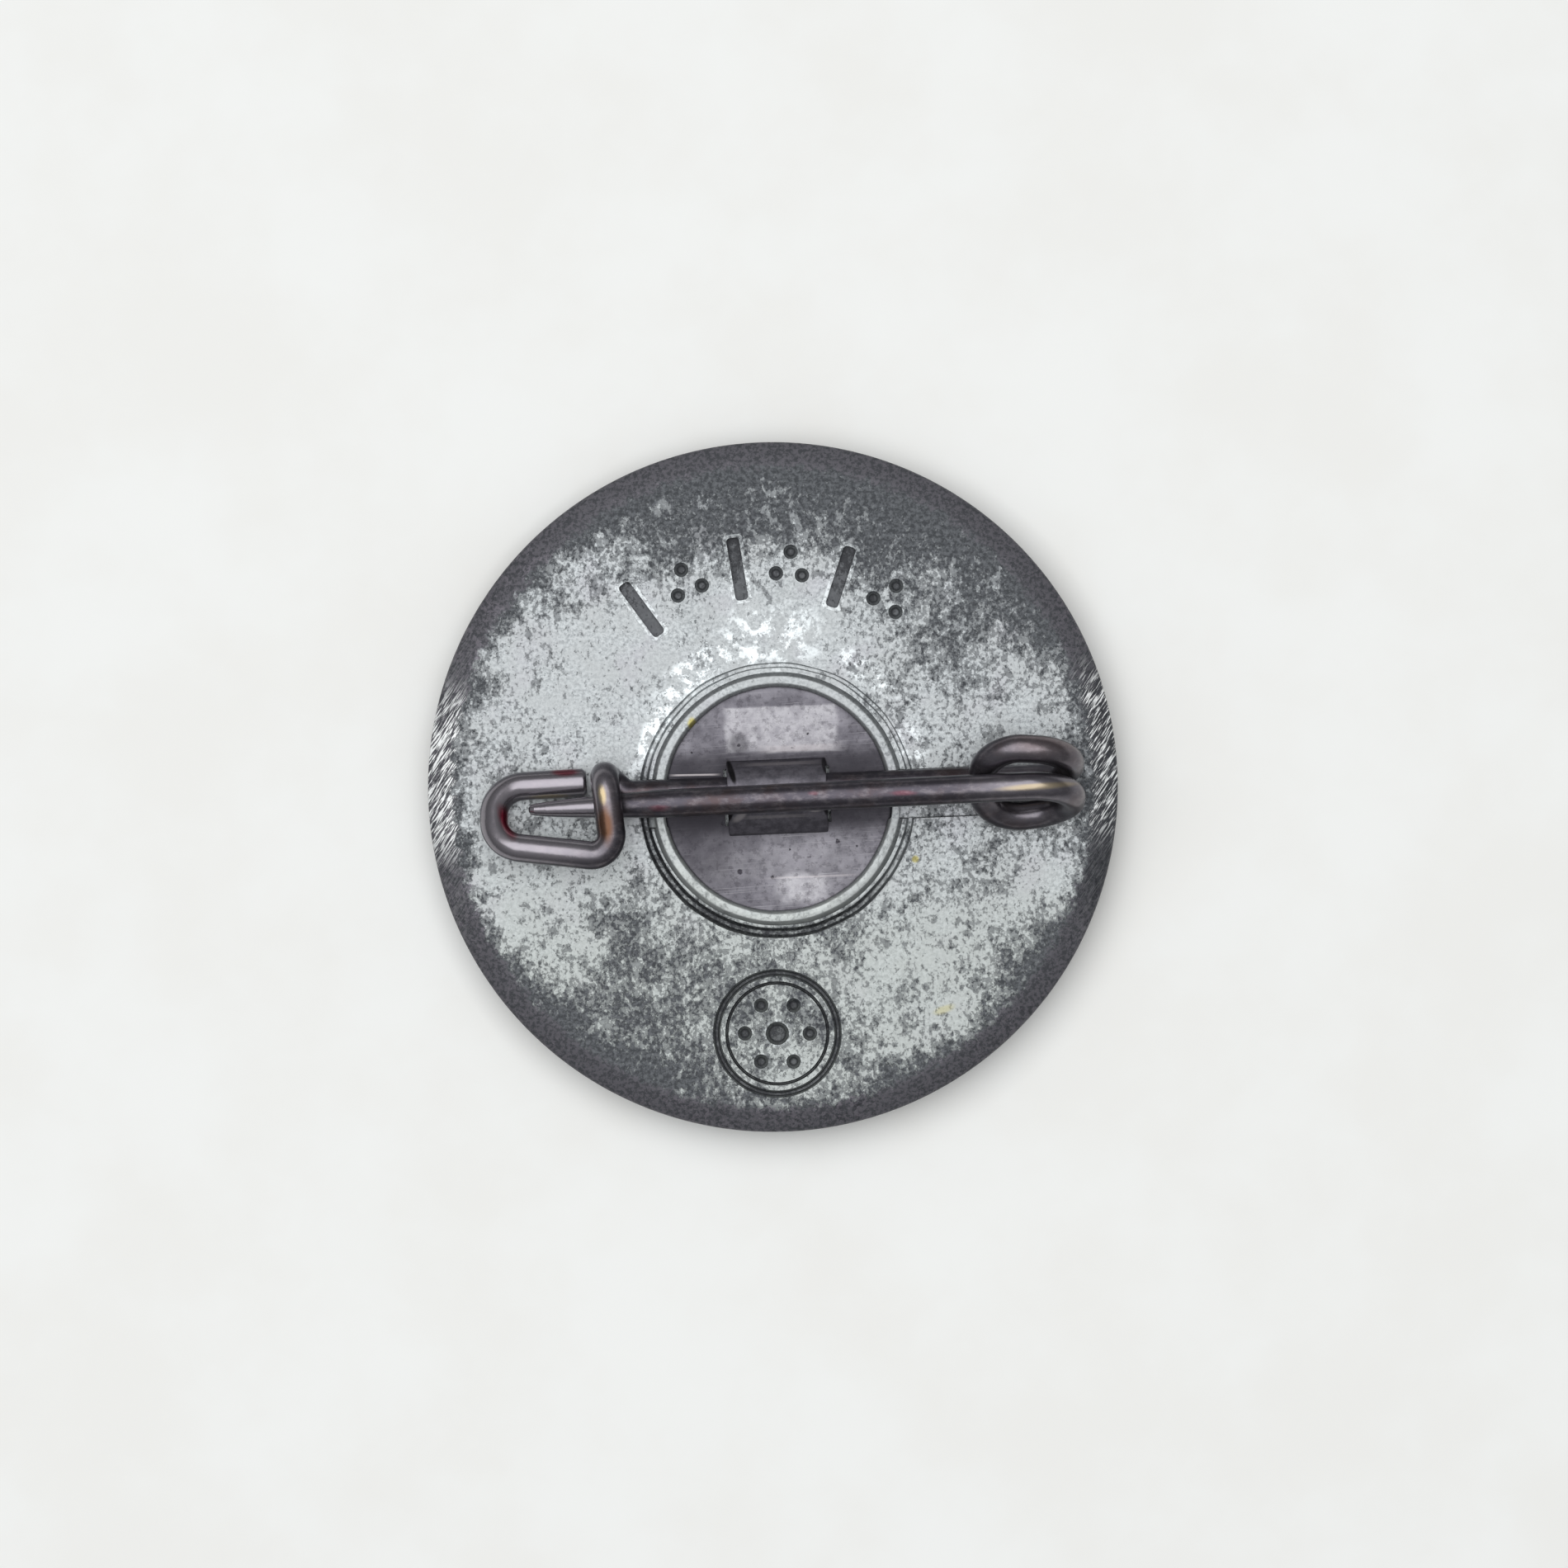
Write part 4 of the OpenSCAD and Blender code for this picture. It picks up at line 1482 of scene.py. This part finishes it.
@dataclass
class LacquerFills:
    """The two rings of lacquer that fill the cells of the front."""

    border_r: float = 10.5
    ring: Spot = (6.2, 6.8)
    boss_r: float = 3.3
    floor: float = 0.45
    surface: float = 0.16
    meniscus: float = 0.05

    def fill(self, name: str, inner: float, outer: float) -> bpy.types.Object:
        """Turns one fill, whose surface creeps up the walls of its cell.

        Args:
            name: Name of the piece.
            inner: Inner radius of the cell.
            outer: Outer radius of the cell.

        Returns:
            The piece.
        """
        lip, dip = self.meniscus, self.surface
        points = [
            (inner, self.floor), (inner, dip), (inner + 2 * lip, dip + 0.5 * lip),
            (inner + 6 * lip, dip + lip), (outer - 6 * lip, dip + lip),
            (outer - 2 * lip, dip + 0.5 * lip), (outer, dip), (outer, self.floor),
        ]
        return finished(as_object(closed_ring(points, 192, 0.0), name), Matrix.Identity(4), 50)

    def build(self, lacquer: bpy.types.Material) -> list[bpy.types.Object]:
        """Builds both fills.

        Args:
            lacquer: Their material.

        Returns:
            The two pieces.
        """
        outer = self.fill("outer_fill", self.ring[1], self.border_r)
        inner = self.fill("inner_fill", self.boss_r, self.ring[0])
        for piece, node in ((outer, "outer_lacquer"), (inner, "inner_lacquer")):
            dressed(piece, lacquer)
            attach(piece, Body.BADGE.value)
            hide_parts(node)
        return [outer, inner]


@dataclass
class PinPlate:
    """The round pin plate with the strap that was lanced and pressed up over the wire."""

    plate: PlateFrame
    radius: float = 3.85
    wire_off: float = 0.34
    wire_r: float = 0.45
    base_h: float = 0.48
    strap_gap: float = 0.03
    strap_t: float = 0.25
    strap_l: float = 3.3
    strap_near: float = 1.51
    strap_far: float = 0.98
    strap_steps: int = 12
    crease: float = 0.05
    fold_angle: float = 0.9
    cut_past: float = 0.3
    slit: float = 0.12

    def section(self, inset: float) -> list[Spot]:
        """Draws the strap's upper line across the wire, drawn in by an inset.

        Args:
            inset: How far the line lies inside the strap's outer face.

        Returns:
            Its points across the wire and above the plate's face.
        """
        height = self.base_h + self.plate.sink
        outer = self.wire_r + self.strap_gap + self.strap_t
        near, far = (
            math.atan(height / foot) + math.asin(outer / math.hypot(foot, height))
            for foot in (self.strap_near, self.strap_far)
        )
        reach = outer - inset
        angles = (-near + (near + far) * step / self.strap_steps for step in range(self.strap_steps + 1))
        arc = [(reach * math.sin(angle), height + reach * math.cos(angle)) for angle in angles]
        near_foot = inset / math.sin(near) - self.strap_near
        far_foot = self.strap_far - inset / math.sin(far)
        return [(near_foot, 0.0), *arc, (far_foot, 0.0)]

    def swept(self, points: Sequence[Spot], length: float, drop: float) -> bmesh.types.BMesh:
        """Carries a section closed below the plate's face along the wire.

        Args:
            points: Across the wire and above the plate's face.
            length: Length along the wire.
            drop: Depth to which the section reaches.

        Returns:
            The closed shape.
        """
        shape = bmesh.new()
        ends = [(points[0][0], -drop), *points, (points[-1][0], -drop)]
        corners = [
            shape.verts.new((-length / 2, self.wire_off + across, height - self.plate.sink))
            for across, height in ends
        ]
        face = shape.faces.new(corners)
        moved = bmesh.ops.extrude_face_region(shape, geom=[face])["geom"]
        bmesh.ops.translate(shape, verts=corners_of(moved), vec=(length, 0, 0))
        bmesh.ops.recalc_face_normals(shape, faces=shape.faces)
        return shape

    def build(self, sheet: bpy.types.Material) -> bpy.types.Object:
        """Builds the plate.

        Args:
            sheet: Its material.

        Returns:
            The piece.
        """
        face, under = -self.plate.sink, -self.plate.sink - self.plate.thickness
        points = [
            (0, under), (self.radius, under), (self.radius, face - 0.04), (self.radius - 0.12, face),
            (0, face),
        ]
        blank = turned(outline(points, {1: 0.05, 2: 0.03, 3: 0.05}), 160)
        plate = as_object(blank, "pin_plate_sheet")
        strap = self.swept(self.section(0.0), self.strap_l, self.plate.thickness / 2)
        crown = [
            edge for edge in strap.edges
            if edge.calc_face_angle(0) > self.fold_angle and max(v.co.z for v in edge.verts) > 0
        ]
        bmesh.ops.bevel(
            strap, geom=crown, offset=self.crease, segments=2, profile=0.5, affect="EDGES", material=-1
        )
        worked(plate, "UNION", strap)
        length, drop = self.strap_l + 2 * self.slit, self.plate.thickness + self.cut_past
        worked(plate, "DIFFERENCE", self.swept(self.section(self.strap_t), length, drop))
        finished(plate, self.plate.matrix(), 28)
        dressed(plate, sheet)
        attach(plate, Body.BADGE.value)
        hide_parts("pin_plate")
        return plate


def corners_of(geometry: Iterable[Any]) -> list[bmesh.types.BMVert]:
    """Returns the vertices among mixed geometry."""
    return [part for part in geometry if isinstance(part, bmesh.types.BMVert)]


def faces_of(geometry: Iterable[Any]) -> list[bmesh.types.BMFace]:
    """Returns the faces among mixed geometry."""
    return [part for part in geometry if isinstance(part, bmesh.types.BMFace)]


class Drawing:
    """Draws a solid wire step by step, by extruding and spinning its end face."""

    def __init__(self, start: Vector, way: Vector, radius: float, sides: int) -> None:
        """Starts with the wire's first face.

        Args:
            start: Middle of the face.
            way: Direction in which the wire goes on.
            radius: Radius of the face.
            sides: Number of sides of the wire.
        """
        self.shape = bmesh.new()
        self.spot = start.copy()
        self.way = way.normalized()
        self.radius = radius
        stand = Matrix.Translation(start) @ self.way.to_track_quat("Z", "Y").to_matrix().to_4x4()
        bmesh.ops.create_circle(self.shape, cap_ends=True, segments=sides, radius=radius, matrix=stand)
        self.end = self.shape.faces[:]

    def straight(self, length: float, radius: Optional[float] = None, pieces: int = 1) -> None:
        """Goes straight on.

        Args:
            length: Length of the stretch.
            radius: Radius at its far end, or None for the same.
            pieces: Number of equal steps.
        """
        goal = self.radius if radius is None else radius
        first = self.radius
        for index in range(1, pieces + 1):
            moved = bmesh.ops.extrude_face_region(self.shape, geom=self.end)["geom"]
            corners, self.end = corners_of(moved), faces_of(moved)
            bmesh.ops.translate(self.shape, verts=corners, vec=self.way * (length / pieces))
            self.spot = self.spot + self.way * (length / pieces)
            size = first + (goal - first) * index / pieces
            share, middle = size / self.radius, Matrix.Translation(-self.spot)
            bmesh.ops.scale(self.shape, verts=corners, vec=(share, share, share), space=middle)
            self.radius = size

    def bend(self, onward: Vector, radius: float, step: float) -> None:
        """Bends towards a new direction.

        Args:
            onward: The new direction.
            radius: Radius of the bend on the wire's centre line.
            step: Largest angle between two rings, in degrees.
        """
        onward = onward.normalized()
        angle = self.way.angle(onward)
        axis = self.way.cross(onward).normalized()
        centre = self.spot + axis.cross(self.way) * radius
        pieces = max(2, math.ceil(math.degrees(angle) / step))
        edges = list(dict.fromkeys(edge for face in self.end for edge in face.edges))
        corners = list(dict.fromkeys(vertex for face in self.end for vertex in face.verts))
        last = bmesh.ops.spin(
            self.shape, geom=self.end + edges + corners, cent=centre, axis=axis, dvec=(0, 0, 0), angle=angle,
            steps=pieces, use_merge=False, use_duplicate=False,
        )["geom_last"]
        self.end = faces_of(last)
        self.spot = centre + Matrix.Rotation(angle, 3, axis) @ (self.spot - centre)
        self.way = onward


@dataclass
class BentWire:
    """The one wire: guard, catch hook, base run and coil stay on the badge, and the needle is drawn as a
    piece of its own.
    """

    plate: PlateFrame
    radius: float = 0.468
    burr: float = 0.12
    sides: int = 28
    step: float = 6.0
    corners: tuple[tuple[float, float, float], ...] = (
        (-6.32, 0.81, 0.48), (-9.39, 0.75, 0.6), (-9.42, -1.15, 1.558), (-5.44, -1.72, 2.248),
        (-5.68, 0.997, 2.328), (-5.68, 0.997, 0.48), (-5.04, 0.34, 0.48), (9.7, 0.34, 0.48),
        (9.7, 1.21, 3.18), (6.8, 1.45, 3.08), (6.8, -1.0, 0.48), (9.7, -0.76, 0.48), (9.7, 0.11, 3.43),
        (-8.24, -0.03, 1.05),
    )
    bends: tuple[float, ...] = (1.064, 1.064, 0.68, 0.68, 0.55, 0.7, 1.323, 1.323, 1.323, 1.323, 1.323, 1.323)
    taper: tuple[Spot, ...] = (
        (4.5, 1.0), (3.4, 0.89), (2.3, 0.78), (1.4, 0.66), (0.6, 0.52), (0.2, 0.42), (0.06, 0.32),
        (0.0, 0.16),
    )
    blend_reach: float = 0.72
    root_length: float = 1.8
    root_pieces: int = 24
    piece_length: float = 0.6
    tip_piece: float = 0.35
    shortest: float = 0.01
    roughness: Spot = (0.012, 0.008)
    roughness_scale: float = 1.7

    def fixed_run(self) -> bmesh.types.BMesh:
        """Draws the wire from its cut end to the last bend of the coil.

        Returns:
            The wire, in the plate's frame.
        """
        points = [Vector(corner) for corner in self.corners]
        wire = Drawing(points[0], points[1] - points[0], self.radius - self.burr, self.sides)
        wire.straight(self.burr, self.radius)
        for corner, onward, bend in zip(points[1:], points[2:], self.bends):
            way = onward - corner
            setback = bend * math.tan(wire.way.angle(way.normalized()) / 2)
            length = (corner - wire.spot).length - setback
            if length > self.shortest:
                wire.straight(length, pieces=max(1, round(length / self.piece_length)))
            wire.bend(way, bend, self.step)
        return wire.shape

    def needle_run(self, start: Vector, tip: Vector) -> bmesh.types.BMesh:
        """Draws the needle from the coil to its point.

        Args:
            start: Where the needle leaves the coil, in the plate's frame.
            tip: Its point.

        Returns:
            The needle.
        """
        way = tip - start
        wire = Drawing(start, way, self.radius, self.sides)
        wire.straight(self.root_length, pieces=self.root_pieces)
        done = self.root_length
        for back, share in self.taper:
            length = way.length - back - done
            wire.straight(length, share * self.radius, max(2, round(length / self.tip_piece)))
            done += length
        return wire.shape

    def roughened(self, shape: bmesh.types.BMesh, amount: float) -> bmesh.types.BMesh:
        """Makes a drawn wire slightly uneven, as a hand-bent one is.

        Args:
            shape: The wire.
            amount: Largest shift in millimetres.

        Returns:
            The same wire.
        """
        shape.normal_update()
        scale = self.roughness_scale
        shifts = [vertex.normal * (noise.noise(vertex.co * scale) * amount) for vertex in shape.verts]
        for vertex, shift in zip(shape.verts, shifts):
            vertex.co += shift
        return shape

    def build(self, metal: bpy.types.Material) -> list[bpy.types.Object]:
        """Builds both stretches of the wire.

        Args:
            metal: Their material.

        Returns:
            The fixed run and the needle.
        """
        stand = self.plate.matrix()
        joints = {joint["name"]: joint for joint in frame["joints"]}
        roll, swing = joints["needle_roll"], joints["needle_swing"]
        start = stand.inverted() @ (Vector(roll["pos_m"]) / MM)
        tip = Vector(self.corners[-1])
        coarse, fine = self.roughness
        fixed = finished(as_object(self.roughened(self.fixed_run(), coarse), "bent_wire"), stand, 50)
        drawn = self.roughened(self.needle_run(start, tip), fine)
        needle = finished(as_object(drawn, "sprung_needle"), stand, 50)
        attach(fixed, Body.BADGE.value)
        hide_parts("guard_loop", "catch_hook", "base_wire", "spring_coil")
        ball = Vector(swing["pos_m"])
        reach = -Vector(roll["axis"]).normalized() * (self.blend_reach * MM)
        if (ball - Vector(roll["pos_m"])).dot(reach) > 0:
            reach = -reach
        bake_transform(needle)
        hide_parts("needle_root", "needle")
        for piece in (fixed, needle):
            dressed(piece, metal)
        return [fixed, needle]


# ---------------------------------------------------------------------------------------------
# The studio
# ---------------------------------------------------------------------------------------------


@dataclass
class Studio:
    """Paper floor, soft light and the camera over the badge."""

    floor_half: float = 1.5
    eye: tuple[float, float, float] = (0.00037, 0.0001, 0.2455)
    lens: float = 168.0
    sensor: float = 36.0
    lamp_place: tuple[float, float, float] = (-0.06, 0.07, 0.42)
    lamp_size: float = 0.5
    lamp_watts: float = 1.69
    horizon: Colour = (0.12, 0.122, 0.126)
    zenith: Colour = (0.525, 0.533, 0.54)

    def floor(self, paper: bpy.types.Material) -> None:
        """Lays the floor under the badge.

        Args:
            paper: The floor's material.
        """
        sheet = bmesh.new()
        bmesh.ops.create_grid(sheet, x_segments=1, y_segments=1, size=self.floor_half)
        floor = as_object(sheet, "paper_floor")
        dressed(floor, paper)

    def light(self) -> None:
        """Hangs the one square soft box, which faces the badge."""
        lamp = bpy.data.lights.new("key", "AREA")
        lamp.shape = "SQUARE"
        lamp.size = self.lamp_size
        lamp.energy = self.lamp_watts
        hung = bpy.data.objects.new("key", lamp)
        hung.location = self.lamp_place
        hung.rotation_euler = (-Vector(self.lamp_place)).to_track_quat("-Z", "Y").to_euler()
        bpy.context.scene.collection.objects.link(hung)

    def sky(self) -> None:
        """Sets the light from all round, brighter overhead."""
        world = bpy.data.worlds.new("studio")
        world.use_nodes = True
        bench = Bench(world.node_tree)
        _, _, up = bench.split(bench.node("TexCoord").outputs["Generated"])
        colour = bench.mix(bench.math("MAXIMUM", up, 0.0), self.horizon, self.zenith)
        bench.feed(world.node_tree.nodes["Background"].inputs["Color"], colour)
        bpy.context.scene.world = world

    def camera(self) -> None:
        """Sets the camera straight above the badge."""
        lens = bpy.data.cameras.new("eye")
        lens.lens = self.lens
        lens.sensor_width = self.sensor
        lens.clip_start = 0.01
        eye = bpy.data.objects.new("eye", lens)
        eye.location = self.eye
        bpy.context.scene.collection.objects.link(eye)
        bpy.context.scene.camera = eye

    def build(self, paper: bpy.types.Material) -> None:
        """Builds the whole studio.

        Args:
            paper: The floor's material.
        """
        self.camera()
        self.floor(paper)
        self.sky()
        self.light()
        bpy.context.scene.view_settings.view_transform = "Standard"


def report(pieces: Iterable[bpy.types.Object]) -> None:
    """Logs each piece and its number of faces."""
    for piece in pieces:
        log.info("%s: %d faces", piece.name, len(piece.data.polygons))


def main() -> None:
    """Builds the studio and every piece of the badge."""
    logging.basicConfig(level=logging.INFO, format="%(name)s: %(message)s")
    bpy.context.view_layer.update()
    noise.seed_set(NOISE_SEED)
    effects = Effects()
    plate = PlateFrame()
    Studio().build(PalePaper().made(effects))
    log.info("studio is set")
    report(StruckDisc(plate).build(ZincPatina().made(effects)))
    report(LacquerFills().build(CrimsonLacquer().made(effects)))
    report([PinPlate(plate).build(PlateSheet().made(effects))])
    report(BentWire(plate).build(TarnishedWire().made(effects)))


if __name__ == "__main__":
    main()
